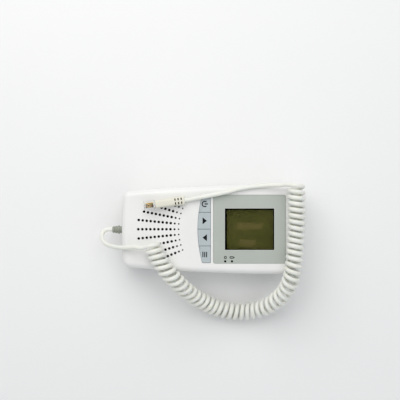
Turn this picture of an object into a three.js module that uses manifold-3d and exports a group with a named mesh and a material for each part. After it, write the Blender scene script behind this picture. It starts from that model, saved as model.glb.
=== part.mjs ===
// Fetal doppler monitor: a hand-held main unit with a display, four keys and a speaker,
// and a curly cord that ends in a small modular plug.
// Millimetres, +Z up, +X towards the display end, origin on the standing surface under the middle.
import * as THREE from "three";
import { mergeGeometries, mergeVertices } from "three/addons/utils/BufferGeometryUtils.js";
import Module from "manifold-3d";

const wasm = await Module();
wasm.setup();

// Gaps and allowances that every piece shares
const play = 0.3; // left between pieces that touch
const overrun = 1; // how far a cutter passes the face that it cuts
const roundSides = 24;
const smallSides = 12;
const holeSides = 8;

// Driving sizes
const housing = {
  sideRoom: 2.6, // beside the key board
  taper: 11.8, // width lost between the display end and the speaker end
  widestFromDisplayEnd: 12.5,
  endBulge: 1.6,
  cornerRadius: 6,
  standOff: 1.2,
  wall: 2.2,
  edgeRadius: 4.5,
  innerEdgeRadius: 2.3,
  partingHeight: 17,
  lipThickness: 0.95,
  lipHeight: 1.1,
};

const display = {
  bezelLength: 58.2,
  bezelWidth: 54.8,
  bezelCorner: 1.6,
  bezelThickness: 1.6,
  bezelDrop: 0.2,
  windowEndInset: 9.3,
  windowSideInset: 10.75,
  trayThickness: 1.8,
  trayMargin: 1.7,
  lensMargin: 2,
  panelMargin: 4,
  panelThickness: 2.6,
  holderWall: 2.5,
  holderHeight: 7.5,
  holderFloor: 1.6,
  connectorWidth: 2.5,
  connectorInset: 4,
};

const keys = {
  fromBezel: 1.9,
  depth: 10.3,
  arcRadius: 101,
  sideInset: 0.7, // from the bezel's sides
  divider: 0.5,
  rise: 0.6,
  softEdge: 0.5,
  travel: 0.8,
  flangeReach: 0.8,
  flangeThickness: 0.6,
};

const keyMat = {
  thickness: 1,
  padHeight: 2.2,
  padSize: 5.6,
  slack: 0.1,
  margin: 2.6,
};

const board = {
  thickness: 1.6,
  clearance: 1.3,
  sideGap: 3,
  narrowGap: 0.8,
  endGap: 0.8,
  postRadius: 2.5,
  postGap: 0.1,
  postInset: 2.6,
  postToKeyBoard: 1.1,
  keyBoardMargin: 1.4,
  keyPostRadius: 2,
};

const screw = {
  radius: 1.3,
  headRadius: 2.5,
  headHeight: 1.5,
  smallRadius: 0.8,
  smallHeadRadius: 1.9,
  smallHeadHeight: 0.9,
  smallLength: 5,
  bossRadius: 3.2,
  boreDepth: 7.5,
  wellDepth: 7.8,
  wellWall: 0.9,
  displayEndInset: 8.5,
  displaySideInset: 6.9,
  speakerEndInset: 9,
  speakerSideInset: 8.4,
};

const speaker = {
  fromSpeakerEnd: 29.1,
  radius: 19.2,
  ringWall: 1.5,
  ringDepth: 5.8,
  gasketThickness: 1.2,
  gasketWidth: 2.4,
  flangeThickness: 1,
  basketDepth: 7.2,
  basketWall: 0.8,
  coneRadius: 15.2,
  coneDepth: 4.4,
  coneWall: 0.6,
  capRadius: 4.6,
  magnetRadius: 9,
  magnetHeight: 5.7,
};

const grille = {
  fanCentre: 60, // from the speaker's middle to the point that the rays of holes aim at
  innerRadius: 43.6,
  pitch: 3.22,
  rayAngle: THREE.MathUtils.degToRad(5.6),
  holesByRay: [11, 11, 10, 9, 6],
  holeRadius: 0.95,
  holeSides: 6,
  taperShares: [0.6, 0.77],
};

const cell = {
  radius: 7.1,
  length: 49.2,
  nubRadius: 2.7,
  nubLength: 1.3,
  spacing: 15.2,
  contactThickness: 0.5,
  contactBump: 1.3,
  contactMargin: 1.2,
};

const bay = {
  wall: 1.3,
  sideGap: 1.2,
  flangeHeight: 1.3,
  doorThickness: 1.8,
  doorHalfWidth: 19,
  tongue: 1.2,
  tongueThickness: 1,
  doorRibs: 5,
  ribWidth: 1.2,
  ribPitch: 2.6,
  ribHeight: 0.5,
  ribLength: 22,
  ribInset: 10,
};

const foot = {
  radius: 4.4,
  recess: 0.6,
  displayInset: 22.5,
  fromDoor: 1.4,
  speakerInset: 20.5,
  speakerY: 21.5,
};

const light = {
  radius: 0.8,
  fromWindow: 0.3,
  spacing: 5.4,
  fromBezelEdge: 1.7,
  drop: 0.1,
};

const socket = {
  fromPost: 2,
  bodyLength: 11.5,
  bodyWidth: 7.6,
  bodyHeight: 6,
  barrelRadius: 3,
  jackBore: 1.8,
  powerBore: 2.25,
  pinRadius: 0.7,
  boreDepth: 9,
  faceDrop: 0.4,
  behind: 1.2,
};

const cord = {
  diameter: 3.5,
  innerDiameter: 3,
  sides: 8,
  leadY: -0.6,
};

const relief = {
  length: 6,
  standOff: 2.2,
  baseRadius: 3.5,
  tipRadius: 2.5,
  neckRadius: 2.8,
  flangeRadius: 4.6,
  flangeThickness: 1.5,
  grooveDepth: 0.6,
  grooves: 2,
};

const curl = {
  radius: 5.4,
  turns: 46,
  stepsPerTurn: 8,
  sides: 5,
  lean: 12, // degrees
  leanGrows: [0.5, 3], // turns
  leanFades: [10, 14],
};

const plug = {
  bodyLength: 8.4,
  bodyWidth: 7.65,
  bodyHeight: 6.5,
  tongueLength: 3,
  tongueWidth: 4.6,
  tongueHeight: 3.4,
  frontChamfer: 0.8,
  contactCount: 4,
  contactPitch: 1.02,
  contactThickness: 0.36,
  contactLength: 4.3,
  contactDepth: 2.2,
  contactInset: 1.6,
  contactProud: 0.15,
  latchLength: 10.5,
  latchWidth: 3.2,
  latchThickness: 0.9,
  latchInset: 1.2,
  latchAngle: THREE.MathUtils.degToRad(9),
  bootLength: 23.8,
  bootFront: 6.3,
  bootBack: 7.2,
  bootHeight: 6,
  bootBackHeight: 5.4,
  bootSquareness: 0.6,
  bootSlots: 3,
  slotPitch: 2.5,
  slotWidth: 1,
  slotDepth: 1.3,
  slotInset: 0.6,
  slotLength: 2,
  slotFromMiddle: 0.55,
  yaw: THREE.MathUtils.degToRad(8.2),
  tipX: -54.2,
  tipY: 18.6,
};

// Levels, from the standing surface upwards
const backZ = housing.standOff;
const floorZ = backZ + housing.wall;
const doorTop = backZ + bay.doorThickness;
const cellZ = doorTop + play + cell.radius;
const bayTop = cellZ + cell.radius + play;
const boardBottom = bayTop + bay.wall + board.clearance;
const boardTop = boardBottom + board.thickness;
const onBoard = boardTop + play;
const panelTop = onBoard + display.holderHeight;
const panelBottom = panelTop - display.panelThickness;
const trayBottom = panelTop + play;
const pocketZ = trayBottom + display.trayThickness;
const bezelBottom = pocketZ + play;
const bezelTop = bezelBottom + display.bezelThickness;
const faceZ = bezelTop + display.bezelDrop;
const ceilingZ = faceZ - housing.wall;
const keyFlangeTop = ceilingZ - play;
const keyFlangeBottom = keyFlangeTop - keys.flangeThickness;
const padTop = keyFlangeBottom - keys.travel - keyMat.slack;
const matTop = padTop - keyMat.padHeight;
const matBottom = matTop - keyMat.thickness;
const keyBoardTop = matBottom - play;
const keyBoardBottom = keyBoardTop - board.thickness;

// The housing's length: the speaker end, the speaker, the keys, the display and the sockets in a row
const ringInner = speaker.radius + play;
const ringOuter = ringInner + speaker.ringWall;
const postRight = board.endGap + board.postInset + board.postRadius;
const keyBoardReach = keyMat.margin + board.keyBoardMargin;
const speakerToKeys = ringOuter + postRight + board.postToKeyBoard + keyBoardReach;
const holderReach = display.panelMargin + play + display.holderWall;
const endWall = housing.wall + housing.endBulge / 2;
const holderToEnd = endWall + play + socket.bodyLength + socket.behind;
const bezelToEnd = holderToEnd + holderReach - display.windowEndInset;
const keysToEnd = keys.depth + keys.fromBezel + display.bezelLength + bezelToEnd;
const housingLength = speaker.fromSpeakerEnd + speakerToKeys + keysToEnd;
const endX = housingLength / 2;
const bezelRight = endX - bezelToEnd;
const bezelLeft = bezelRight - display.bezelLength;
const windowLeft = bezelLeft + display.windowEndInset;
const windowRight = bezelRight - display.windowEndInset;
const windowHalf = display.bezelWidth / 2 - display.windowSideInset;
const keysRight = bezelLeft - keys.fromBezel;
const keysLeft = keysRight - keys.depth;
const speakerX = -endX + speaker.fromSpeakerEnd;
const boardLeft = speakerX + ringOuter + board.endGap;
const boardRight = endX - housing.wall - board.endGap;
const bayRight = endX - housing.wall - screw.displayEndInset - bay.wall + play;
const contactReach = play + cell.contactThickness + cell.contactBump + play;
const bayLeft = bayRight - cell.length - cell.nubLength - 2 * contactReach;
const doorLeft = bayLeft - bay.wall + play;

// Half widths
const keysHalf = display.bezelWidth / 2 - keys.sideInset;
const keyPostY = keysHalf + play + board.keyPostRadius;
const keyBoardHalf = keyPostY + board.keyPostRadius;
const displayHalf = keyBoardHalf + play + housing.wall + housing.sideRoom;
const speakerHalf = displayHalf - housing.taper / 2;
const boardHalf = keyBoardHalf - board.sideGap;
const bayHalf = cell.spacing / 2 + cell.radius + bay.sideGap;
const footDisplayY = bay.doorHalfWidth + bay.tongue + foot.fromDoor + foot.radius;

// Solids from three.js geometry
const mergeDistance = 1e-4;

function solidFrom(geometry) {
  const bare = new THREE.BufferGeometry();
  bare.setAttribute("position", geometry.getAttribute("position"));
  bare.setIndex(geometry.index);
  const merged = mergeVertices(bare, mergeDistance);
  const mesh = new wasm.Mesh({
    numProp: 3,
    vertProperties: new Float32Array(merged.getAttribute("position").array),
    triVerts: new Uint32Array(merged.index.array),
  });
  return new wasm.Manifold(mesh);
}

function join(...solids) {
  return solids.reduce((sum, next) => sum.add(next));
}

function block(x0, x1, y0, y1, z0, z1) {
  const geometry = new THREE.BoxGeometry(x1 - x0, y1 - y0, z1 - z0);
  geometry.translate((x0 + x1) / 2, (y0 + y1) / 2, (z0 + z1) / 2);
  return solidFrom(geometry);
}

function upright(x, y, z0, z1, radius, sides = roundSides) {
  const geometry = new THREE.CylinderGeometry(radius, radius, z1 - z0, sides);
  geometry.rotateX(Math.PI / 2);
  geometry.translate(x, y, (z0 + z1) / 2);
  return solidFrom(geometry);
}

function lying(x0, x1, y, z, radius, sides = roundSides) {
  const geometry = new THREE.CylinderGeometry(radius, radius, x1 - x0, sides);
  geometry.rotateZ(Math.PI / 2);
  geometry.translate((x0 + x1) / 2, y, z);
  return solidFrom(geometry);
}

// A profile of [radius, height] pairs turned about Z; it runs up the outside.
function turned(profile, x, y, sides = roundSides) {
  const points = profile.map(([radius, height]) => new THREE.Vector2(radius, height));
  const geometry = new THREE.LatheGeometry(points, sides);
  geometry.rotateX(Math.PI / 2);
  geometry.translate(x, y, 0);
  return solidFrom(geometry);
}

function slab(shape, z0, z1, curveSegments = 4) {
  const settings = { depth: z1 - z0, bevelEnabled: false, curveSegments };
  const geometry = new THREE.ExtrudeGeometry(shape, settings);
  geometry.translate(0, 0, z0);
  return solidFrom(geometry);
}

function roundedRectangle(x0, x1, y0, y1, radius) {
  const shape = new THREE.Shape();
  shape.moveTo(x0 + radius, y0);
  shape.lineTo(x1 - radius, y0);
  shape.absarc(x1 - radius, y0 + radius, radius, -Math.PI / 2, 0);
  shape.lineTo(x1, y1 - radius);
  shape.absarc(x1 - radius, y1 - radius, radius, 0, Math.PI / 2);
  shape.lineTo(x0 + radius, y1);
  shape.absarc(x0 + radius, y1 - radius, radius, Math.PI / 2, Math.PI);
  shape.lineTo(x0, y0 + radius);
  shape.absarc(x0 + radius, y0 + radius, radius, Math.PI, 1.5 * Math.PI);
  return shape;
}

// A closed skin over rings of equal point counts, with a fan of faces at each end.
function skinned(rings) {
  const count = rings[0].length;
  const positions = rings.flat().flatMap((p) => [p.x, p.y, p.z]);
  const ends = [rings[0], rings.at(-1)];
  ends.forEach((ring) => {
    const middle = new THREE.Vector3();
    ring.forEach((p) => middle.add(p));
    positions.push(...middle.divideScalar(count).toArray());
  });
  const faces = [];
  for (let r = 0; r < rings.length - 1; r += 1) {
    for (let i = 0; i < count; i += 1) {
      const a = r * count + i;
      const b = r * count + ((i + 1) % count);
      faces.push(a, b, b + count, a, b + count, a + count);
    }
  }
  const first = rings.length * count;
  const last = (rings.length - 1) * count;
  for (let i = 0; i < count; i += 1) {
    const next = (i + 1) % count;
    faces.push(first, next, i);
    faces.push(first + 1, last + i, last + next);
  }
  const geometry = new THREE.BufferGeometry();
  geometry.setAttribute("position", new THREE.Float32BufferAttribute(positions, 3));
  geometry.setIndex(faces);
  return geometry;
}

// The housing's outline, seen from above
const sideSteps = 6;
const cornerSteps = 5;
const endSteps = 3;
const fitPasses = 12;
const edgeSteps = 5;
const innerEdgeSteps = 3;
const widestX = endX - housing.widestFromDisplayEnd;
const taperSpan = widestX + endX;

function halfWidthAt(x) {
  const share = (widestX - x) / taperSpan;
  return displayHalf - (displayHalf - speakerHalf) * share * share;
}

function sideSlopeAt(x) {
  return (housing.taper * (widestX - x)) / taperSpan ** 2;
}

function endReachAt(y) {
  const share = y / displayHalf;
  return endX - housing.endBulge * share * share;
}

function endSlopeAt(y) {
  return (2 * housing.endBulge * y) / displayHalf ** 2;
}

// The corner arc at one end (side = 1 or -1), found by moving its centre until both ends touch.
function cornerArc(side) {
  const radius = housing.cornerRadius;
  const centre = new THREE.Vector2(side * (endX - radius), halfWidthAt(side * endX) - radius);
  let sideAngle = Math.PI / 2;
  let endAngle = side > 0 ? 0 : Math.PI;
  for (let pass = 0; pass < fitPasses; pass += 1) {
    const touchX = centre.x + radius * Math.cos(sideAngle);
    const touchY = centre.y + radius * Math.sin(endAngle);
    sideAngle = Math.PI / 2 + Math.atan(sideSlopeAt(touchX));
    const lean = Math.atan(endSlopeAt(touchY));
    endAngle = side > 0 ? lean : Math.PI - lean;
    centre.y = halfWidthAt(touchX) - radius * Math.sin(sideAngle);
    centre.x = side * endReachAt(touchY) - radius * Math.cos(endAngle);
  }
  return { centre, sideAngle, endAngle };
}

function outlinePoint(x, y, normalX, normalY) {
  const length = Math.hypot(normalX, normalY);
  return { x, y, normalX: normalX / length, normalY: normalY / length };
}

function arcPoints({ centre }, from, to) {
  return Array.from({ length: cornerSteps + 1 }, (_, i) => {
    const angle = from + ((to - from) * i) / cornerSteps;
    const x = centre.x + housing.cornerRadius * Math.cos(angle);
    const y = centre.y + housing.cornerRadius * Math.sin(angle);
    return outlinePoint(x, y, Math.cos(angle), Math.sin(angle));
  });
}

function endPoints(side, topY) {
  return Array.from({ length: endSteps }, (_, i) => {
    const y = (topY * i) / endSteps;
    return outlinePoint(side * endReachAt(y), y, side, endSlopeAt(y));
  });
}

function buildOutline() {
  const right = cornerArc(1);
  const left = cornerArc(-1);
  const rightArc = arcPoints(right, right.endAngle, right.sideAngle);
  const leftArc = arcPoints(left, left.sideAngle, left.endAngle);
  const startX = rightArc.at(-1).x;
  const stopX = leftArc[0].x;
  const side = Array.from({ length: sideSteps - 1 }, (_, i) => {
    const x = startX + ((stopX - startX) * (i + 1)) / sideSteps;
    return outlinePoint(x, halfWidthAt(x), -sideSlopeAt(x), 1);
  });
  const rightEnd = endPoints(1, rightArc[0].y);
  const leftEnd = endPoints(-1, leftArc.at(-1).y).reverse();
  const upper = [...rightEnd, ...rightArc, ...side, ...leftArc, ...leftEnd];
  const lower = upper.slice(1, -1).reverse();
  const mirrored = lower.map((p) => ({ ...p, y: -p.y, normalY: -p.normalY }));
  return [...upper, ...mirrored];
}

const outline = buildOutline();

function outlineRing(inset, z) {
  return outline.map((p) => new THREE.Vector3(p.x - p.normalX * inset, p.y - p.normalY * inset, z));
}

// A rounded slab of the housing's outline: each level is an inset and a height.
function rounded(inset, bottom, top, radius, steps) {
  const levels = Array.from({ length: steps + 1 }, (_, i) => {
    const angle = ((Math.PI / 2) * i) / steps;
    return [radius * (1 - Math.cos(angle)), radius * (1 - Math.sin(angle))];
  });
  const lower = levels.map(([shift, rise]) => outlineRing(inset + shift, bottom + rise));
  const upper = levels.map(([shift, rise]) => outlineRing(inset + shift, top - rise));
  return solidFrom(skinned([...lower.reverse(), ...upper]));
}

function plate(inset, bottom, top) {
  return solidFrom(skinned([outlineRing(inset, bottom), outlineRing(inset, top)]));
}

// Finishes
function finish(color, roughness, metalness = 0, extra = {}) {
  return new THREE.MeshStandardMaterial({ color, roughness, metalness, ...extra });
}

const seeThrough = { transparent: true, opacity: 0.5 };
const finishes = {
  whitePlastic: finish(0xf0efed, 0.38),
  greyPlastic: finish(0xb4bab2, 0.45),
  keyPlastic: finish(0xb4bcc4, 0.5),
  ivoryVinyl: finish(0xe2e2d6, 0.5),
  reliefVinyl: finish(0xb9bcae, 0.5),
  clearPlastic: finish(0xe8ecec, 0.1, 0, seeThrough),
  lcdGlass: finish(0x3c3b20, 0.2),
  blackPlastic: finish(0x1c1c1d, 0.6),
  silicone: finish(0x9a9fa3, 0.8),
  boardGreen: finish(0x1d5a38, 0.45),
  steel: finish(0xb9bcc0, 0.35, 1),
  gold: finish(0xc9a75a, 0.25, 1),
  paper: finish(0x2a2724, 0.9),
  foam: finish(0x333335, 0.95),
  rubber: finish(0x55585a, 0.85),
  cellWrap: finish(0x3f6f8c, 0.4),
};

const monitor = new THREE.Group();
const plugGroup = new THREE.Group();

function piece(name, geometry, material, parent = monitor) {
  const mesh = new THREE.Mesh(geometry, material);
  mesh.name = name;
  parent.add(mesh);
}

function solidPiece(name, solid, material, parent = monitor) {
  const { numProp, vertProperties, triVerts, numVert } = solid.getMesh();
  const positions = new Float32Array(numVert * 3);
  for (let i = 0; i < numVert; i += 1) {
    positions.set(vertProperties.subarray(i * numProp, i * numProp + 3), i * 3);
  }
  const geometry = new THREE.BufferGeometry();
  geometry.setAttribute("position", new THREE.BufferAttribute(positions, 3));
  geometry.setIndex(new THREE.BufferAttribute(new Uint32Array(triVerts), 1));
  geometry.computeVertexNormals();
  piece(name, geometry, material, parent);
}

// Places that both covers share
const bosses = [];
for (const side of [1, -1]) {
  const displayX = endX - screw.displayEndInset;
  const speakerBossX = -endX + screw.speakerEndInset;
  bosses.push([displayX, side * (halfWidthAt(displayX) - screw.displaySideInset)]);
  bosses.push([speakerBossX, side * (halfWidthAt(speakerBossX) - screw.speakerSideInset)]);
}
const screwBore = screw.radius + play;
const smallBore = screw.smallRadius + play;
const boardPosts = [];
const narrowHalf = bosses[0][1] - screw.bossRadius - play - board.narrowGap;
const postY = narrowHalf - board.postRadius - board.postGap;
for (const side of [1, -1]) {
  boardPosts.push([boardLeft + board.postInset, side * postY]);
  boardPosts.push([bezelRight + screw.smallRadius, side * postY]);
}
const keyPosts = [1, -1].map((side) => [(keysLeft + keysRight) / 2, side * keyPostY]);
const lights = [0, 1].map((i) => [
  windowLeft + light.fromWindow + i * light.spacing,
  -display.bezelWidth / 2 + light.fromBezelEdge,
]);
const socketY = postY - board.postRadius - socket.fromPost - socket.bodyWidth / 2;
const sockets = { headphone: socketY, charging: -socketY };
const socketZ = onBoard + socket.bodyHeight / 2;
const wellTop = backZ + screw.wellDepth;

// Keys: four caps in one strip whose speaker side follows an arc
const keyCount = 4;
const keyArcSteps = 4;
const keyPitch = (2 * keysHalf + keys.divider) / keyCount;
const keyWidth = keyPitch - keys.divider;

function keyArcX(y) {
  return keysLeft + keys.arcRadius - Math.sqrt(keys.arcRadius ** 2 - y ** 2);
}

function keyRing(y0, y1, grow, reach, z) {
  const low = y0 - grow;
  const high = y1 + grow;
  const step = (low - high) / keyArcSteps;
  const left = Array.from({ length: keyArcSteps + 1 }, (_, i) => high + step * i);
  const arc = left.map((y) => new THREE.Vector3(keyArcX(y) - grow - reach, y, z));
  const right = keysRight + grow + reach;
  return [new THREE.Vector3(right, low, z), new THREE.Vector3(right, high, z), ...arc];
}

function keyRange(index) {
  const low = keysHalf - (index + 1) * keyPitch + keys.divider;
  return [low, low + keyWidth];
}

function keySolid(index) {
  const [low, high] = keyRange(index);
  const crest = faceZ + keys.rise;
  const cap = skinned([
    keyRing(low, high, 0, 0, keyFlangeBottom),
    keyRing(low, high, 0, 0, crest - keys.softEdge),
    keyRing(low, high, -keys.softEdge, 0, crest),
  ]);
  const flange = skinned([
    keyRing(low, high, 0, keys.flangeReach, keyFlangeBottom),
    keyRing(low, high, 0, keys.flangeReach, keyFlangeTop),
  ]);
  return join(solidFrom(cap), solidFrom(flange));
}

function addKeys() {
  ["key_power", "key_up", "key_down", "key_menu"].forEach((name, index) => {
    solidPiece(name, keySolid(index), finishes.keyPlastic);
  });
  const matHalf = keysHalf;
  const matLeft = keysLeft - keyMat.margin;
  const sheet = block(matLeft, keysRight + keys.flangeReach, -matHalf, matHalf, matBottom, matTop);
  const padX = (keysLeft + keysRight) / 2;
  const pads = Array.from({ length: keyCount }, (_, index) => {
    const [low, high] = keyRange(index);
    const y = (low + high) / 2;
    const half = keyMat.padSize / 2;
    return block(padX - half, padX + half, y - half, y + half, matBottom, padTop);
  });
  solidPiece("key_mat", join(sheet, ...pads), finishes.silicone);
}

// Covers
function speakerHoles() {
  const holes = [];
  grille.holesByRay.forEach((count, ray) => {
    for (const side of ray ? [1, -1] : [1]) {
      for (let i = 0; i < count; i += 1) {
        const reach = grille.innerRadius + i * grille.pitch;
        const angle = side * ray * grille.rayAngle;
        const radius = grille.holeRadius * (grille.taperShares[i] ?? 1);
        const hole = new THREE.CylinderGeometry(radius, radius, housing.wall + 2 * play, grille.holeSides);
        hole.rotateX(Math.PI / 2);
        const x = speakerX + grille.fanCentre - reach * Math.cos(angle);
        hole.translate(x, reach * Math.sin(angle), ceilingZ + housing.wall / 2);
        holes.push(hole);
      }
    }
  });
  return solidFrom(mergeGeometries(holes));
}

function outerBody() {
  return rounded(0, backZ, faceZ, housing.edgeRadius, edgeSteps);
}

function innerSpace() {
  return rounded(housing.wall, floorZ, ceilingZ, housing.innerEdgeRadius, innerEdgeSteps);
}

function reliefHole() {
  const reach = housing.wall + housing.endBulge + overrun;
  const z = housing.partingHeight;
  return lying(-endX - overrun, -endX + reach, cord.leadY, z, relief.neckRadius + play, smallSides);
}

function addFrontCover() {
  const seam = housing.partingHeight + play / 2;
  const wholeShell = outerBody().subtract(innerSpace());
  const upper = wholeShell.intersect(block(-2 * endX, 2 * endX, -endX, endX, seam, 2 * faceZ));
  const rebateInset = housing.wall - housing.lipThickness - play;
  const rebateTop = housing.partingHeight + housing.lipHeight + play;
  const rebate = plate(rebateInset, seam - overrun, rebateTop);
  const trayLeft = bezelLeft - play - keys.fromBezel / 4;
  const trayHalf = display.bezelWidth / 2 + display.trayMargin;
  const trayRight = bezelRight + display.trayMargin;
  const tray = block(trayLeft, trayRight, -trayHalf, trayHalf, trayBottom, ceilingZ + play);
  const ring = upright(speakerX, 0, ceilingZ - speaker.ringDepth, ceilingZ + play, ringOuter);
  const additions = [tray, ring];
  const cuts = [rebate, speakerHoles(), reliefHole()];
  cuts.push(upright(speakerX, 0, ceilingZ - speaker.ringDepth - overrun, ceilingZ, ringInner));
  boardPosts.forEach(([x, y]) => {
    additions.push(upright(x, y, onBoard, ceilingZ + play, board.postRadius, smallSides));
    cuts.push(upright(x, y, onBoard - overrun, onBoard + screw.smallLength, smallBore, holeSides));
  });
  keyPosts.forEach(([x, y]) => {
    additions.push(upright(x, y, matBottom, ceilingZ + play, board.keyPostRadius, smallSides));
    cuts.push(upright(x, y, matBottom - overrun, matBottom + screw.smallLength - play, smallBore, holeSides));
  });
  bosses.forEach(([x, y]) => {
    const bossBottom = housing.partingHeight + play;
    additions.push(upright(x, y, bossBottom, ceilingZ + play, screw.bossRadius, smallSides));
    cuts.push(upright(x, y, bossBottom - overrun, bossBottom + screw.boreDepth, screwBore, holeSides));
  });
  const half = display.bezelWidth / 2 + play;
  const corner = display.bezelCorner + play;
  const pocket = roundedRectangle(bezelLeft - play, bezelRight + play, -half, half, corner);
  cuts.push(slab(pocket, pocketZ, faceZ + overrun));
  const lensReach = display.lensMargin + play;
  const lensHalf = windowHalf + lensReach;
  const lensLeft = windowLeft - lensReach;
  cuts.push(block(lensLeft, windowRight + lensReach, -lensHalf, lensHalf, trayBottom - overrun, faceZ));
  const strip = [ceilingZ - overrun, faceZ + overrun].map((z) =>
    keyRing(-keysHalf, keysHalf, play, 0, z),
  );
  cuts.push(solidFrom(skinned(strip)));
  lights.forEach(([x, y]) => {
    cuts.push(upright(x, y, trayBottom - overrun, faceZ, light.radius + play, holeSides));
  });
  Object.values(sockets).forEach((y) => {
    const bore = socket.barrelRadius + play;
    cuts.push(lying(endX - housing.wall - overrun, endX + overrun, y, socketZ, bore, smallSides));
  });
  const cover = join(upper, ...additions).subtract(join(...cuts));
  solidPiece("front_cover", cover, finishes.whitePlastic);
}

function addRearCover() {
  const seam = housing.partingHeight - play / 2;
  const body = outerBody();
  const shell = body.subtract(innerSpace());
  const lower = shell.intersect(block(-2 * endX, 2 * endX, -endX, endX, 0, seam));
  const lipTop = housing.partingHeight + housing.lipHeight;
  const lipInset = housing.wall - housing.lipThickness;
  const lipSpace = plate(housing.wall, floorZ, lipTop + overrun);
  const lip = plate(lipInset, seam - housing.lipHeight, lipTop).subtract(lipSpace);
  const outerHalf = bayHalf + bay.wall;
  const wallLeft = bayLeft - bay.wall;
  const bayShell = block(wallLeft, bayRight + bay.wall, -outerHalf, outerHalf, floorZ, bayTop + bay.wall);
  const flangeTop = doorTop + play + bay.flangeHeight;
  const flangeHalf = bay.doorHalfWidth + bay.tongue + play + bay.wall;
  const flange = block(wallLeft, endX - housing.wall / 2, -flangeHalf, flangeHalf, floorZ - play, flangeTop);
  const additions = [lip, bayShell, flange];
  const cuts = [reliefHole()];
  bosses.forEach(([x, y]) => {
    const radius = screw.headRadius + play + screw.wellWall;
    additions.push(upright(x, y, floorZ - play, seam, radius, smallSides));
    cuts.push(upright(x, y, backZ - overrun, wellTop, screw.headRadius + play, smallSides));
    cuts.push(upright(x, y, backZ, seam + overrun, screwBore, holeSides));
  });
  cuts.push(block(bayLeft, bayRight, -bayHalf, bayHalf, backZ - overrun, bayTop));
  const slotHalf = bay.doorHalfWidth + play;
  const pastEnd = endX + overrun;
  cuts.push(block(doorLeft - play, pastEnd, -slotHalf, slotHalf, backZ - overrun, doorTop + play));
  const grooveHalf = slotHalf + bay.tongue;
  const grooveBottom = doorTop - bay.tongueThickness - play;
  cuts.push(block(doorLeft - play, pastEnd, -grooveHalf, grooveHalf, grooveBottom, doorTop + play));
  footPlaces().forEach(([x, y]) => {
    cuts.push(upright(x, y, backZ - overrun, backZ + foot.recess, foot.radius + play));
  });
  const inside = join(...additions).intersect(body.add(plate(housing.wall, seam - play, lipTop)));
  solidPiece("rear_cover", join(lower, inside).subtract(join(...cuts)), finishes.whitePlastic);
}

function footPlaces() {
  return [1, -1].flatMap((side) => [
    [endX - foot.displayInset, side * footDisplayY],
    [-endX + foot.speakerInset, side * foot.speakerY],
  ]);
}

function addFeetAndScrews() {
  footPlaces().forEach(([x, y], i) => {
    const top = backZ + foot.recess - play;
    solidPiece(`foot_${i + 1}`, upright(x, y, 0, top, foot.radius), finishes.rubber);
  });
  bosses.forEach(([x, y], i) => {
    const headTop = wellTop - play;
    const tip = housing.partingHeight + screw.boreDepth - play;
    const head = upright(x, y, headTop - screw.headHeight, headTop, screw.headRadius, smallSides);
    const shank = upright(x, y, headTop - screw.headHeight / 2, tip, screw.radius, holeSides);
    solidPiece(`housing_screw_${i + 1}`, join(head, shank), finishes.steel);
  });
  const addSmallScrew = (name, x, y, under) => {
    const headTop = under - play;
    const head = upright(x, y, headTop - screw.smallHeadHeight, headTop, screw.smallHeadRadius, smallSides);
    const tip = headTop + board.thickness + screw.smallLength;
    const shank = upright(x, y, headTop - screw.smallHeadHeight / 2, tip, screw.smallRadius, holeSides);
    solidPiece(name, join(head, shank), finishes.steel);
  };
  boardPosts.forEach(([x, y], i) => addSmallScrew(`board_screw_${i + 1}`, x, y, boardBottom));
  keyPosts.forEach(([x, y], i) => addSmallScrew(`key_board_screw_${i + 1}`, x, y, keyBoardBottom));
}

function addBatteryDoor() {
  const half = bay.doorHalfWidth;
  const panel = outerBody().intersect(block(doorLeft, 2 * endX, -half, half, 0, doorTop));
  const tongueHalf = half + bay.tongue;
  const tongueBottom = doorTop - bay.tongueThickness;
  const tongueRight = endX - housing.edgeRadius;
  const tongues = block(doorLeft + bay.tongue, tongueRight, -tongueHalf, tongueHalf, tongueBottom, doorTop);
  const ribs = Array.from({ length: bay.doorRibs }, (_, i) => {
    const x = doorLeft + bay.ribInset + i * bay.ribPitch;
    const y = bay.ribLength / 2;
    return block(x, x + bay.ribWidth, -y, y, backZ - bay.ribHeight, doorTop);
  });
  solidPiece("battery_door", join(panel, tongues, ...ribs), finishes.whitePlastic);
}

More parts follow.
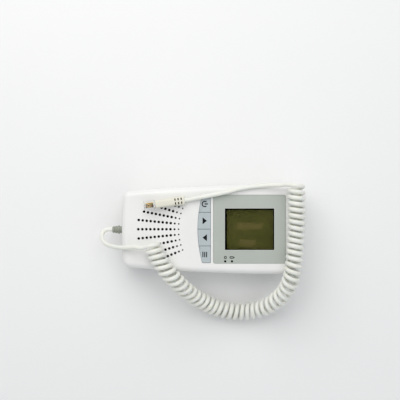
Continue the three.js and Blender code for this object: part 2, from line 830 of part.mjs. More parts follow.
// Display
function addDisplay() {
  const half = display.bezelWidth / 2;
  const corner = display.bezelCorner;
  const bezelShape = roundedRectangle(bezelLeft, bezelRight, -half, half, corner);
  const bezelCuts = [
    block(windowLeft, windowRight, -windowHalf, windowHalf, bezelBottom - overrun, faceZ + overrun),
  ];
  lights.forEach(([x, y]) => {
    bezelCuts.push(upright(x, y, bezelBottom - overrun, faceZ + overrun, light.radius + play, holeSides));
  });
  const bezel = slab(bezelShape, bezelBottom, bezelTop).subtract(join(...bezelCuts));
  solidPiece("display_bezel", bezel, finishes.greyPlastic);

  const lensHalf = windowHalf + display.lensMargin;
  const lensLeft = windowLeft - display.lensMargin;
  const lensRight = windowRight + display.lensMargin;
  const lens = block(lensLeft, lensRight, -lensHalf, lensHalf, trayBottom, bezelBottom - play);
  solidPiece("display_window", lens, finishes.clearPlastic);

  const margin = display.panelMargin;
  const panelHalf = windowHalf + margin;
  const panelLeft = windowLeft - margin;
  const panelRight = windowRight + margin;
  const panel = block(panelLeft, panelRight, -panelHalf, panelHalf, panelBottom, panelTop);
  solidPiece("lcd_panel", panel, finishes.lcdGlass);

  const reach = play + display.holderWall;
  const holderHalf = panelHalf + reach;
  const holderLeft = panelLeft - reach;
  const holderRight = panelRight + reach;
  const frame = block(holderLeft, holderRight, -holderHalf, holderHalf, onBoard, panelTop);
  const nest = block(
    panelLeft - play,
    panelRight + play,
    -panelHalf - play,
    panelHalf + play,
    panelBottom - play,
    faceZ,
  );
  const under = panelBottom - play - display.holderFloor;
  const skirt = display.holderWall / 2;
  const hollow = block(
    holderLeft + skirt,
    holderRight - skirt,
    -holderHalf + skirt,
    holderHalf - skirt,
    onBoard - overrun,
    under,
  );
  const connectorLeft = panelLeft + display.connectorInset;
  const connectorRight = panelRight - display.connectorInset;
  const connectorY = -panelHalf + play;
  const connectorTop = connectorY + display.connectorWidth;
  const slot = block(
    connectorLeft - play,
    connectorRight + play,
    connectorY - play,
    connectorTop + play,
    under - overrun,
    panelBottom,
  );
  solidPiece("lcd_holder", frame.subtract(join(nest, hollow, slot)), finishes.blackPlastic);
  const underPanel = panelBottom - play;
  const connector = block(connectorLeft, connectorRight, connectorY, connectorTop, onBoard, underPanel);
  solidPiece("lcd_connector", connector, finishes.silicone);

  const names = ["power_light_guide", "charge_light_guide"];
  lights.forEach(([x, y], i) => {
    const guide = upright(x, y, onBoard, bezelTop - light.drop, light.radius, smallSides);
    solidPiece(names[i], guide, finishes.clearPlastic);
  });
}

// Boards and what they carry
function addBoards() {
  const shape = new THREE.Shape();
  const step = bezelRight - board.postRadius;
  shape.moveTo(boardLeft, -boardHalf);
  shape.lineTo(step, -boardHalf);
  shape.lineTo(step, -narrowHalf);
  shape.lineTo(boardRight, -narrowHalf);
  shape.lineTo(boardRight, narrowHalf);
  shape.lineTo(step, narrowHalf);
  shape.lineTo(step, boardHalf);
  shape.lineTo(boardLeft, boardHalf);
  const bores = boardPosts.map(([x, y]) =>
    upright(x, y, boardBottom - overrun, boardTop + overrun, smallBore, holeSides),
  );
  solidPiece("main_board", slab(shape, boardBottom, boardTop).subtract(join(...bores)), finishes.boardGreen);

  const half = keyBoardHalf;
  const left = keysLeft - keyBoardReach;
  const right = keysRight + board.keyBoardMargin;
  const keyBores = keyPosts.map(([x, y]) =>
    upright(x, y, keyBoardBottom - overrun, keyBoardTop + overrun, smallBore, holeSides),
  );
  const keyBoard = block(left, right, -half, half, keyBoardBottom, keyBoardTop);
  solidPiece("key_board", keyBoard.subtract(join(...keyBores)), finishes.boardGreen);
}

const parts = {
  link: { length: 5, width: 14 },
  processor: { length: 14, width: 14, height: 1.1, placeShare: 0.31 },
  amplifier: { length: 5, width: 8, height: 1.1, y: 14 },
  crystal: { length: 4.5, width: 10, height: 2.3, placeShare: 0.82, sideShare: 0.74 },
  header: { length: 7, width: 8, height: 3.5, fromEdge: 1, y: -9 },
};

function addBoardParts() {
  const centred = (x, y, { length, width }, z0, z1) =>
    block(x - length / 2, x + length / 2, y - width / 2, y + width / 2, z0, z1);
  const { link, processor, amplifier, crystal, header } = parts;
  const keyX = (keysLeft + keysRight) / 2;
  solidPiece("board_link", centred(keyX, 0, link, onBoard, keyBoardBottom - play), finishes.blackPlastic);
  const windowLength = windowRight - windowLeft;
  const processorX = windowLeft + processor.placeShare * windowLength;
  const processorTop = onBoard + processor.height;
  const processorSolid = centred(processorX, 0, processor, onBoard, processorTop);
  solidPiece("processor_chip", processorSolid, finishes.blackPlastic);
  const amplifierTop = onBoard + amplifier.height;
  const amplifierSolid = centred(keyX, amplifier.y, amplifier, onBoard, amplifierTop);
  solidPiece("amplifier_chip", amplifierSolid, finishes.blackPlastic);
  const crystalX = windowLeft + crystal.placeShare * windowLength;
  const crystalY = crystal.sideShare * windowHalf;
  const crystalSolid = centred(crystalX, crystalY, crystal, onBoard, onBoard + crystal.height);
  solidPiece("crystal_can", crystalSolid, finishes.steel);
  const headerX = boardLeft + header.fromEdge + header.length / 2;
  const headerTop = boardBottom - play;
  const headerSolid = centred(headerX, header.y, header, headerTop - header.height, headerTop);
  solidPiece("lead_header", headerSolid, finishes.ivoryVinyl);
}

function addSockets() {
  const wallInside = endX - endWall;
  const left = wallInside - play - socket.bodyLength;
  const mouth = endX - socket.faceDrop;
  Object.entries(sockets).forEach(([kind, y]) => {
    const half = socket.bodyWidth / 2;
    const body = block(left, wallInside - play, y - half, y + half, onBoard, onBoard + socket.bodyHeight);
    const barrel = lying(wallInside - housing.wall, mouth, y, socketZ, socket.barrelRadius, smallSides);
    const boreRadius = kind === "headphone" ? socket.jackBore : socket.powerBore;
    const bore = lying(mouth - socket.boreDepth, mouth + overrun, y, socketZ, boreRadius, smallSides);
    let solid = join(body, barrel).subtract(bore);
    if (kind === "charging") {
      const pinEnd = mouth - socket.faceDrop;
      solid = solid.add(lying(pinEnd - socket.boreDepth, pinEnd, y, socketZ, socket.pinRadius, holeSides));
    }
    solidPiece(`${kind}_socket`, solid, finishes.blackPlastic);
  });
}

// Speaker
function addSpeaker() {
  const { radius, basketWall, coneRadius, coneWall, capRadius } = speaker;
  const gasketTop = ceilingZ - play;
  const gasketBottom = gasketTop - speaker.gasketThickness;
  const gasketInner = radius - speaker.gasketWidth;
  const gasket = upright(speakerX, 0, gasketBottom, gasketTop, radius).subtract(
    upright(speakerX, 0, gasketBottom - overrun, gasketTop + overrun, gasketInner),
  );
  solidPiece("speaker_gasket", gasket, finishes.foam);

  const flangeTop = gasketBottom - play;
  const flangeBottom = flangeTop - speaker.flangeThickness;
  const basketBottom = flangeTop - speaker.basketDepth;
  const seat = coneRadius + play;
  const footRadius = speaker.magnetRadius;
  const basket = turned(
    [
      [0, basketBottom],
      [footRadius, basketBottom],
      [seat + basketWall, flangeBottom],
      [radius, flangeBottom],
      [radius, flangeTop],
      [seat, flangeTop],
      [seat, flangeBottom],
      [footRadius - basketWall, basketBottom + basketWall],
      [0, basketBottom + basketWall],
    ],
    speakerX,
    0,
  );
  solidPiece("speaker_basket", basket, finishes.steel);

  const coneTop = flangeTop;
  const capRise = 2 * coneWall;
  const coneLow = coneTop - speaker.coneDepth;
  const cone = turned(
    [
      [0, coneLow - coneWall],
      [capRadius, coneLow - coneWall],
      [coneRadius - coneWall, coneTop - 2 * coneWall],
      [coneRadius, coneTop - coneWall],
      [coneRadius, coneTop],
      [coneRadius - coneWall, coneTop],
      [capRadius, coneLow],
      [capRadius / 2, coneLow + capRise],
      [0, coneLow + capRise + coneWall / 2],
    ],
    speakerX,
    0,
  );
  solidPiece("speaker_cone", cone, finishes.paper);

  const magnetTop = basketBottom - play;
  const magnet = upright(speakerX, 0, magnetTop - speaker.magnetHeight, magnetTop, speaker.magnetRadius);
  solidPiece("speaker_magnet", magnet, finishes.steel);
}

// Battery cells and their contacts
function addCells() {
  const start = bayLeft + contactReach;
  [1, -1].forEach((side, i) => {
    const y = (side * cell.spacing) / 2;
    const canStart = side > 0 ? start : start + cell.nubLength;
    const can = lying(canStart, canStart + cell.length, y, cellZ, cell.radius);
    const nubStart = side > 0 ? start + cell.length - play : start;
    const nub = lying(nubStart, nubStart + cell.nubLength + play, y, cellZ, cell.nubRadius, smallSides);
    solidPiece(`battery_cell_${i + 1}`, join(can, nub), finishes.cellWrap);
  });
  const half = bayHalf - cell.contactMargin;
  const z0 = floorZ + cell.contactMargin + bay.flangeHeight;
  const z1 = bayTop - play;
  const addContact = (name, wallX, direction) => {
    const near = wallX + direction * play;
    const far = near + direction * cell.contactThickness;
    const tip = far + direction * cell.contactBump;
    const sheet = block(Math.min(near, far), Math.max(near, far), -half, half, z0, z1);
    const bumps = [1, -1].map((side) => {
      const y = (side * cell.spacing) / 2;
      return lying(Math.min(near, tip), Math.max(near, tip), y, cellZ, cell.nubRadius, smallSides);
    });
    solidPiece(name, join(sheet, ...bumps), finishes.steel);
  };
  addContact("battery_contact_inner", bayLeft, 1);
  addContact("battery_contact_outer", bayRight, -1);
}

// Cord: the relief in the speaker end, a straight lead, the curls and a straight tail
function addRelief() {
  const innerFace = -endX + housing.wall + play;
  const wallFace = -endX - play;
  const start = wallFace - relief.standOff;
  const pitch = relief.length / (relief.grooves + 1);
  const profile = [[0, innerFace + relief.flangeThickness]];
  profile.push([relief.flangeRadius, innerFace + relief.flangeThickness]);
  profile.push([relief.flangeRadius, innerFace], [relief.neckRadius, innerFace]);
  profile.push([relief.neckRadius, start], [relief.baseRadius, start]);
  const radiusAt = (share) => relief.baseRadius + (relief.tipRadius - relief.baseRadius) * share;
  for (let i = 1; i <= relief.grooves; i += 1) {
    const x = start - i * pitch;
    const radius = radiusAt(i / (relief.grooves + 1));
    const half = relief.grooveDepth / 2;
    profile.push([radius, x + half], [radius - relief.grooveDepth, x + half / 2]);
    profile.push([radius - relief.grooveDepth, x - half / 2], [radius, x - half]);
  }
  profile.push([relief.tipRadius, start - relief.length], [0, start - relief.length]);
  const points = profile.map(([radius, x]) => new THREE.Vector2(radius, -x));
  const geometry = new THREE.LatheGeometry(points, smallSides);
  geometry.rotateZ(Math.PI / 2);
  geometry.translate(0, cord.leadY, housing.partingHeight);
  piece("cord_relief", geometry, finishes.reliefVinyl);
}

const tubeSteps = 22;

function tube(points, radius) {
  const path = new THREE.CatmullRomCurve3(points, false, "centripetal");
  const section = new THREE.Shape();
  section.absarc(0, 0, radius, 0, 2 * Math.PI);
  const curveSegments = cord.sides / 2;
  const settings = { steps: tubeSteps, bevelEnabled: false, extrudePath: path, curveSegments };
  return new THREE.ExtrudeGeometry(section, settings);
}

const onFace = faceZ + play + cord.diameter / 2;
const axisOnFace = onFace + curl.radius;
const axisOnFloor = play + cord.diameter / 2 + curl.radius;

// The route of the curls' axis: over the front face, down past the side, along the floor
// and up again over the display end. Points chosen by hand.
const curlRoute = [
  [-48.2, -12.4, axisOnFace],
  [-46.6, -16.4, axisOnFace],
  [-44.6, -20.5, axisOnFace],
  [-42, -24.7, axisOnFace],
  [-37.6, -31.2, axisOnFace - 0.5],
  [-34.2, -35.3, axisOnFace - 1.7],
  [-29.2, -41.1, axisOnFace - 5.4],
  [-22.8, -47.7, axisOnFace - 12],
  [-15.9, -53.9, axisOnFace - 19.8],
  [-8, -59.2, axisOnFace - 26.6],
  [0.6, -63.6, axisOnFace - 31.2],
  [9.5, -66.6, axisOnFloor + 0.9],
  [18.7, -68, axisOnFloor + 0.1],
  [28.2, -68, axisOnFloor + 0.5],
  [37.4, -66.2, axisOnFloor + 3],
  [46, -62.2, axisOnFloor + 8.6],
  [53.5, -56.3, axisOnFloor + 16.2],
  [59.2, -48.7, axisOnFloor + 23.9],
  [62.6, -39.6, axisOnFace - 3.1],
  [64.5, -30.2, axisOnFace - 0.4],
  [65.4, -21.1, axisOnFace + 0.2],
  [66, -12, axisOnFace],
  [66.6, -3.2, axisOnFace],
  [67, 5.3, axisOnFace],
  [67.1, 13.9, axisOnFace],
  [67, 22.6, axisOnFace],
  [66.7, 30.9, axisOnFace],
  [66.5, 35.1, axisOnFace],
].map((p) => new THREE.Vector3(...p));

// How far the turns' planes are turned towards the way on, seen from above: a few near the start are
function leanAt(turn) {
  const grown = THREE.MathUtils.smoothstep(turn, ...curl.leanGrows);
  const faded = THREE.MathUtils.smoothstep(turn, ...curl.leanFades);
  return THREE.MathUtils.degToRad(curl.lean) * grown * (1 - faded);
}

// Points of the curled centre line: turns are spread evenly over the axis as seen from above.
// It starts half a step before the top of a turn, and ends half a step past one.
function curledLine() {
  const axis = new THREE.CatmullRomCurve3(curlRoute, false, "centripetal");
  const samples = 1500;
  const along = [0];
  const points = [axis.getPoint(0)];
  for (let i = 1; i <= samples; i += 1) {
    points.push(axis.getPoint(i / samples));
    const step = Math.hypot(points[i].x - points[i - 1].x, points[i].y - points[i - 1].y);
    along.push(along[i - 1] + step);
  }
  const steps = curl.turns * curl.stepsPerTurn + 1;
  const drift = along[samples] / curl.turns / (2 * Math.PI * curl.radius);
  const line = [];
  const directions = [];
  let k = 0;
  for (let i = 0; i <= steps; i += 1) {
    const target = (along[samples] * i) / steps;
    while (k < samples - 1 && along[k + 1] < target) k += 1;
    const t = (k + (target - along[k]) / (along[k + 1] - along[k])) / samples;
    const forward = axis.getTangent(t);
    const left = new THREE.Vector3(-forward.y, forward.x, 0).normalize();
    const up = forward.clone().cross(left);
    const turn = (i - 0.5) / curl.stepsPerTurn;
    const lean = leanAt(turn);
    const side = left.multiplyScalar(Math.cos(lean)).addScaledVector(forward, Math.sin(lean));
    const spoke = (angle) => side.clone().multiplyScalar(Math.sin(angle)).addScaledVector(up, Math.cos(angle));
    line.push(axis.getPoint(t).addScaledVector(spoke(2 * Math.PI * turn), curl.radius));
    const direction = spoke(2 * Math.PI * turn + Math.PI / 2).addScaledVector(forward, drift);
    directions.push(direction.normalize());
  }
  return { line, enter: directions[0], leave: directions.at(-1), planLength: along[samples] };
}

// A closed tube through given points, its section carried along without twist.
function sweep(points, radius, sides) {
  const tangents = points.map((p, i) => {
    const before = points[Math.max(i - 1, 0)];
    const after = points[Math.min(i + 1, points.length - 1)];
    return after.clone().sub(before).normalize();
  });
  const upward = new THREE.Vector3(0, 0, 1);
  let normal = upward.addScaledVector(tangents[0], -upward.dot(tangents[0])).normalize();
  const rings = points.map((p, i) => {
    normal = normal.clone().addScaledVector(tangents[i], -normal.dot(tangents[i])).normalize();
    const across = tangents[i].clone().cross(normal);
    return Array.from({ length: sides }, (_, s) => {
      const angle = (2 * Math.PI * s) / sides;
      const spoke = normal.clone().multiplyScalar(radius * Math.cos(angle));
      return p.clone().add(spoke.addScaledVector(across, radius * Math.sin(angle)));
    });
  });
  return skinned(rings);
}

// The least gap between turns: the distance between points over half a turn apart, less a diameter.
const gapTurns = 3; // how many turns further on it looks

function leastGap(line) {
  const fine = new THREE.CatmullRomCurve3(line).getPoints((line.length - 1) * 2);
  const apart = curl.stepsPerTurn; // half a turn, as the fine points are twice as close
  const near = gapTurns * 2 * apart;
  let least = Infinity;
  for (let i = 0; i < fine.length; i += 1) {
    for (let j = i + apart; j < Math.min(i + near, fine.length); j += 1) {
      least = Math.min(least, fine[i].distanceTo(fine[j]));
    }
  }
  return least - cord.diameter;
}

function addCord() {
  const { line, enter, leave, planLength } = curledLine();
  const straight = (from, direction, length) => from.clone().addScaledVector(direction, length);
  const first = straight(line[0], enter, -cord.diameter);
  const last = straight(line.at(-1), leave, cord.diameter);
  const curlPoints = [first, ...line, last];
  const gap = leastGap(line);
  console.log(`curls: ${curl.turns}, seen length ${planLength.toFixed(1)}, least gap ${gap.toFixed(2)} mm`);
  piece("cord_curl", sweep(curlPoints, cord.diameter / 2, curl.sides), finishes.ivoryVinyl);

  const exitX = -endX - play - relief.standOff - relief.length - play;
  const exitZ = housing.partingHeight;
  const leadRoute = [
    [exitX, cord.leadY, exitZ],
    [exitX - cord.diameter, cord.leadY, exitZ],
    [-87.9, -1.9, 18.3],
    [-89.3, -5.8, 21.1],
    [-87.5, -10.3, 25.2],
    [-83.5, -12.9, 29.2],
    [-78.2, -14.1, 32.8],
    [-72.4, -14.6, 35.8],
    [-67.3, -14.5, 38.3],
    [-62.3, -14.1, 41.1],
  ].map((p) => new THREE.Vector3(...p));
  leadRoute.push(straight(first, enter, -play - cord.diameter));
  leadRoute.push(straight(first, enter, -play));
  piece("cord_lead", tube(leadRoute, cord.diameter / 2), finishes.ivoryVinyl);

  const boot = bootEnd();
  const tailRoute = [straight(last, leave, play), straight(last, leave, play + cord.diameter)];
  const tailMiddle = [
    [54.5, 35.2, 42.2],
    [49, 35.2, 39.6],
    [43.5, 35, 37.5],
    [38, 34.6, 36.3],
    [32, 34, 36],
    [27, 33.3, 35.9],
    [20, 32, 36],
    [13, 30, 36.3],
    [-2, 26.9, 36.75],
    [-12, 25, 36.75],
  ].map((p) => new THREE.Vector3(...p));
  tailRoute.push(...tailMiddle);
  tailRoute.push(straight(boot.point, boot.direction, play + cord.diameter));
  tailRoute.push(straight(boot.point, boot.direction, play));
  piece("cord_tail", tube(tailRoute, cord.diameter / 2), finishes.ivoryVinyl);
}

// Where the inner lead turns, as shares of the speaker ring's radius and of the parting height
const leadShares = [
  [-0.79, -0.38, 0.7],
  [-0.36, -0.81, 0.5],
  [0.16, -0.98, 0.44],
  [0.64, -0.81, 0.59],
  [0.88, -0.55, 0.91],
];

function addInnerLead() {
  const startX = -endX + housing.wall + play + relief.flangeThickness + play;
  const { header } = parts;
  const endPointX = boardLeft + header.fromEdge - play;
  const endZ = boardBottom - play - header.height / 2;
  const turns = leadShares.map(([x, y, z]) => [
    speakerX + x * ringOuter,
    y * ringOuter,
    z * housing.partingHeight,
  ]);
  const route = [
    [startX, cord.leadY, housing.partingHeight],
    [startX + cord.innerDiameter, cord.leadY, housing.partingHeight],
    ...turns,
    [endPointX - cord.innerDiameter, header.y, endZ],
    [endPointX, header.y, endZ],
  ].map((p) => new THREE.Vector3(...p));
  piece("inner_lead", tube(route, cord.innerDiameter / 2), finishes.ivoryVinyl);
}

// Plug: built with its tip at the group's origin and its cord end along +X. It lies on the front
// face on the free end of its latch and on the cord end of its boot, which sets how far it leans.
function layPlug() {
  const latchReach = plug.latchInset + plug.latchLength * Math.cos(plug.latchAngle);
  const latchDrop = plug.latchLength * Math.sin(plug.latchAngle);
  const latchDepth = plug.bodyHeight / 2 + play + latchDrop + plug.latchThickness;
  const bootReach = plug.bodyLength + play + plug.bootLength;
  const bootDepth = plug.bootBackHeight / 2;
  const lean = Math.atan2(latchDepth - bootDepth, bootReach - latchReach);
  const tipZ = faceZ + play + bootDepth * Math.cos(lean) + bootReach * Math.sin(lean);
  plugGroup.position.set(plug.tipX, plug.tipY, tipZ);
  plugGroup.rotation.set(0, lean, plug.yaw, "ZYX");
  monitor.add(plugGroup);
}

function bootEnd() {
  plugGroup.updateMatrixWorld(true);
  const reach = plug.bodyLength + play + plug.bootLength;
  const point = new THREE.Vector3(reach, 0, 0).applyMatrix4(plugGroup.matrixWorld);
  const direction = new THREE.Vector3(1, 0, 0).transformDirection(plugGroup.matrixWorld);
  return { point, direction };
}

function addPlug() {
  const halfWidth = plug.bodyWidth / 2;
  const halfHeight = plug.bodyHeight / 2;
  const tongueEnd = plug.bodyLength + plug.tongueLength;
  const tongueY = plug.tongueWidth / 2;
  const tongueZ = plug.tongueHeight / 2;
  const side = new THREE.Shape();
  side.moveTo(0, -halfHeight + plug.frontChamfer);
  side.lineTo(plug.frontChamfer, -halfHeight);
  side.lineTo(plug.bodyLength, -halfHeight);
  side.lineTo(plug.bodyLength, halfHeight);
  side.lineTo(plug.frontChamfer, halfHeight);
  side.lineTo(0, halfHeight - plug.frontChamfer);
  const sideGeometry = new THREE.ExtrudeGeometry(side, { depth: plug.bodyWidth, bevelEnabled: false });
  sideGeometry.rotateX(Math.PI / 2);
  sideGeometry.translate(0, halfWidth, 0);
  const tongue = block(plug.bodyLength - play, tongueEnd, -tongueY, tongueY, -tongueZ, tongueZ);
  const combHalf = ((plug.contactCount - 1) * plug.contactPitch + plug.contactThickness) / 2;
  const contactEnd = plug.contactInset + plug.contactLength;
  const contactFloor = halfHeight - plug.contactDepth;
  const slot = block(
    plug.contactInset - play,
    contactEnd + play,
    -combHalf - play,
    combHalf + play,
    contactFloor - play,
    halfHeight + overrun,
  );
  const body = join(solidFrom(sideGeometry), tongue).subtract(slot);
  solidPiece("plug_body", body, finishes.clearPlastic, plugGroup);

  const blades = Array.from({ length: plug.contactCount }, (_, i) => {
    const y = -combHalf + i * plug.contactPitch;
    const crest = halfHeight + plug.contactProud;
    return block(plug.contactInset, contactEnd, y, y + plug.contactThickness, contactFloor, crest);
  });
  const root = block(plug.contactInset, contactEnd, -combHalf, combHalf, contactFloor, contactFloor + play);
  solidPiece("plug_contacts", join(root, ...blades), finishes.gold, plugGroup);

  // The latch hangs from a hinge at the tip and leans away from the body towards the cord.
  const latchY = plug.latchWidth / 2;
  const latch = new THREE.BoxGeometry(plug.latchLength, plug.latchWidth, plug.latchThickness);
  latch.translate(plug.latchLength / 2, 0, -plug.latchThickness / 2);
  latch.rotateY(plug.latchAngle);
  latch.translate(plug.latchInset, 0, -halfHeight - play);
  const knuckleRadius = plug.latchThickness / 2;
  const knuckle = new THREE.CylinderGeometry(knuckleRadius, knuckleRadius, 2 * latchY, holeSides);
  knuckle.translate(plug.latchInset, 0, -halfHeight - play - plug.latchThickness / 2);
  solidPiece("plug_latch", join(solidFrom(latch), solidFrom(knuckle)), finishes.clearPlastic, plugGroup);

  const bootStart = plug.bodyLength + play;
  const bootStop = bootStart + plug.bootLength;
  const ringAt = (x, width, height) =>
    Array.from({ length: smallSides }, (_, i) => {
      const angle = (Math.PI * (2 * i + 1)) / smallSides;
      const soft = (value) => Math.sign(value) * Math.abs(value) ** plug.bootSquareness;
      const y = (soft(Math.cos(angle)) * width) / 2;
      return new THREE.Vector3(x, y, (soft(Math.sin(angle)) * height) / 2);
    });
  const boot = solidFrom(
    skinned([
      ringAt(bootStart, plug.bootFront, plug.bootHeight),
      ringAt(bootStop - plug.slotPitch * (plug.bootSlots + 1), plug.bootFront, plug.bootBackHeight),
      ringAt(bootStop, plug.bootBack, plug.bootBackHeight),
    ]),
  );
  const pocket = block(
    bootStart - overrun,
    tongueEnd + play,
    -tongueY - play,
    tongueY + play,
    -tongueZ - play,
    tongueZ + play,
  );
  const slotFloor = plug.bootBackHeight / 2 - plug.slotDepth;
  const slots = [1, -1].flatMap((across) =>
    Array.from({ length: plug.bootSlots }, (_, i) => {
      const x = bootStop - plug.slotInset - (i + 1) * plug.slotPitch;
      const inner = across * plug.slotFromMiddle;
      const outer = inner + across * plug.slotLength;
      const low = Math.min(outer, inner);
      const high = Math.max(outer, inner);
      const above = block(x, x + plug.slotWidth, low, high, slotFloor, plug.bootHeight);
      const below = block(x, x + plug.slotWidth, low, high, -plug.bootHeight, -slotFloor);
      return join(above, below);
    }),
  );
  solidPiece("plug_boot", boot.subtract(join(pocket, ...slots)), finishes.ivoryVinyl, plugGroup);
}

addFrontCover();
addRearCover();
addBatteryDoor();
addDisplay();
addKeys();
addBoards();
addBoardParts();
addSockets();
addSpeaker();
addCells();
addFeetAndScrews();
addRelief();
addInnerLead();
layPlug();
addPlug();
addCord();

export default monitor;
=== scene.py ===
import math

import bpy
import numpy as np
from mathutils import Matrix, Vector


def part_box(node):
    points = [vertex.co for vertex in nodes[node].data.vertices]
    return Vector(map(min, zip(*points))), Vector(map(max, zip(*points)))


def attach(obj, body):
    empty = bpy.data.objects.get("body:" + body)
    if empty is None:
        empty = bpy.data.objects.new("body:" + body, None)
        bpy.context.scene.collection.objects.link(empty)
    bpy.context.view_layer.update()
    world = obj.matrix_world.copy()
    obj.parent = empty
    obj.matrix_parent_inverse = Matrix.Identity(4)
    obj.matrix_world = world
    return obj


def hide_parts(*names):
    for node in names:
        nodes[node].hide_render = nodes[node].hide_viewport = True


# Fetal doppler monitor, dressed over its CAD frame. All lengths are in metres:
# +X runs to the display end, +Y to the power key, +Z up out of the front face.
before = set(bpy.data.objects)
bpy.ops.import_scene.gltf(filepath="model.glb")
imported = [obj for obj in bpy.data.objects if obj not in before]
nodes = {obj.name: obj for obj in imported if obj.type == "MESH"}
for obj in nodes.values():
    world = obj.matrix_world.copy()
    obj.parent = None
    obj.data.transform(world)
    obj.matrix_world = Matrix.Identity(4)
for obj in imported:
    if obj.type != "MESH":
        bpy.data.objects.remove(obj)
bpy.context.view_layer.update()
print("frame loaded:", len(nodes), "nodes")

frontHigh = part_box("front_cover")[1]
faceZ = frontHigh.z
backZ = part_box("rear_cover")[0].z
endX = frontHigh.x
seamZ = 0.017


def middleOf(name):
    low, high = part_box(name)
    return (low + high) / 2


# Camera, floor and light
camera = dict(place=(-0.0098, 0.0234, 1.1), lens=119.9, sensor=36.0)
stage = dict(size=3.0, drop=0.0001, skyColor=(0.94, 0.97, 1.0), skyStrength=0.52)
stage.update(keyPlace=(-0.16, 0.5, 0.72), keySize=0.9, keyPower=5.5, keyColor=(1, 0.985, 0.96))
stage.update(fillPlace=(0.5, -0.5, 0.9), fillSize=1.1, fillPower=2.1, fillColor=(0.95, 0.97, 1))
stage.update(cardPlace=(0.06, -0.03), cardHeight=1.25, cardHalf=0.3)
stage.update(tubeColor=(1.0, 0.62, 0.32), tubeGlow=3.9, tubeDrop=0.01)
stage.update(tubes=[(0.0744, -0.021, 0.045, 0.0105), (0.0712, -0.05, 0.027, 0.0105)])  # x, y, width, depth


def addCamera():
    data = bpy.data.cameras.new("camera")
    data.lens = camera["lens"]
    data.sensor_width = camera["sensor"]
    viewer = bpy.data.objects.new("camera", data)
    viewer.location = camera["place"]
    bpy.context.scene.collection.objects.link(viewer)
    bpy.context.scene.camera = viewer


def addAreaLight(name, place, size, power, color):
    # A soft square light that looks at the origin
    data = bpy.data.lights.new(name, "AREA")
    data.size = size
    data.energy = power
    data.color = color
    lamp = bpy.data.objects.new(name, data)
    lamp.location = place
    lamp.rotation_euler = (-lamp.location).to_track_quat("-Z", "Y").to_euler()
    bpy.context.scene.collection.objects.link(lamp)
    return lamp


def flatObject(name, x0, y0, x1, y1, z):
    # One upward face that belongs to the studio and not to the object
    mesh = bpy.data.meshes.new(name)
    mesh.from_pydata([(x0, y0, z), (x1, y0, z), (x1, y1, z), (x0, y1, z)], [], [[0, 1, 2, 3]])
    made = bpy.data.objects.new(name, mesh)
    bpy.context.scene.collection.objects.link(made)
    return made


def addStage():
    bpy.context.scene.view_settings.view_transform = "Standard"
    sky = bpy.data.worlds.new("studio")
    bpy.context.scene.world = sky
    sky.use_nodes = True
    background = sky.node_tree.nodes["Background"]
    background.inputs["Color"].default_value = (*stage["skyColor"], 1)
    background.inputs["Strength"].default_value = stage["skyStrength"]
    addAreaLight("keyLight", stage["keyPlace"], stage["keySize"], stage["keyPower"], stage["keyColor"])
    addAreaLight("fillLight", stage["fillPlace"], stage["fillSize"], stage["fillPower"], stage["fillColor"])
    half = stage["size"] / 2
    floor = flatObject("floor", -half, -half, half, half, -stage["drop"])
    # A dark card over the camera with two faint lamps under it: the display mirrors them, as in the
    # photograph. The camera doesn't see the card, and it throws no shadow.
    x, y = stage["cardPlace"]
    half = stage["cardHalf"]
    height = stage["cardHeight"]
    card = flatObject("card", x - half, y - half, x + half, y + half, height)
    card.visible_camera = False
    card.visible_shadow = False
    for x, y, width, depth in stage["tubes"]:
        place = (x, y, height - stage["tubeDrop"])
        power = stage["tubeGlow"] * width * depth
        lamp = addAreaLight("tubeLight", place, width, power, stage["tubeColor"])
        lamp.data.shape = "RECTANGLE"
        lamp.data.size_y = depth
        lamp.rotation_euler = (0, 0, 0)
    return floor, card


addCamera()
floor, card = addStage()
print("camera, light and floor")


# Shapes are pairs of points and faces, worked out with numpy
def ringFaces(rows, columns, loop=False):
    # Quads between neighbouring rings, each ring closed on itself; loop joins the last ring to the first
    ring = np.arange(rows if loop else rows - 1)[:, None]
    here = np.arange(columns)[None, :]
    after = (here + 1) % columns
    low = ring * columns
    high = ((ring + 1) % rows) * columns
    quads = np.stack([low + here, low + after, high + after, high + here], axis=2)
    return quads.reshape(-1, 4).tolist()


def closedRings(rings):
    # A skin over rings, an array (rows, columns, 3), with one face over each end
    rows, columns = rings.shape[:2]
    last = (rows - 1) * columns
    faces = ringFaces(rows, columns)
    faces.append(list(range(columns - 1, -1, -1)))
    faces.append(list(range(last, last + columns)))
    return rings.reshape(-1, 3), faces


def outwardNormals(outline):
    # Square to the line between the two neighbours of each point; the outline runs counter-clockwise
    along = np.roll(outline, -1, axis=0) - np.roll(outline, 1, axis=0)
    normal = np.column_stack([along[:, 1], -along[:, 0]])
    return normal / np.linalg.norm(normal, axis=1, keepdims=True)


def levelRings(outline, levels):
    # One ring for each (inset, height): the outline moved in along its normals by the inset
    levels = np.asarray(levels, float)
    flat = outline[None] - outwardNormals(outline)[None] * levels[:, 0][:, None, None]
    heights = np.broadcast_to(levels[:, 1][:, None, None], (*flat.shape[:2], 1))
    return np.concatenate([flat, heights], axis=2)


def lofted(outline, levels):
    # An upright piece: the rings of the outline, one for each level, skinned from the first to the last
    return closedRings(levelRings(outline, levels))


def quarter(steps):
    # (distance in from the side, distance in from the face) along a quarter circle of radius 1
    angle = np.linspace(0, math.pi / 2, steps + 1)
    return np.column_stack([1 - np.cos(angle), 1 - np.sin(angle)])


def softLevels(bottom, top, lowerRadius, upperRadius, steps=4):
    # Levels of a slab whose lower and upper edges are rounded
    arc = quarter(steps)
    lower = arc[::-1] * lowerRadius + (0, bottom)
    upper = arc * (upperRadius, -upperRadius) + (0, top)
    return np.concatenate([lower, upper])


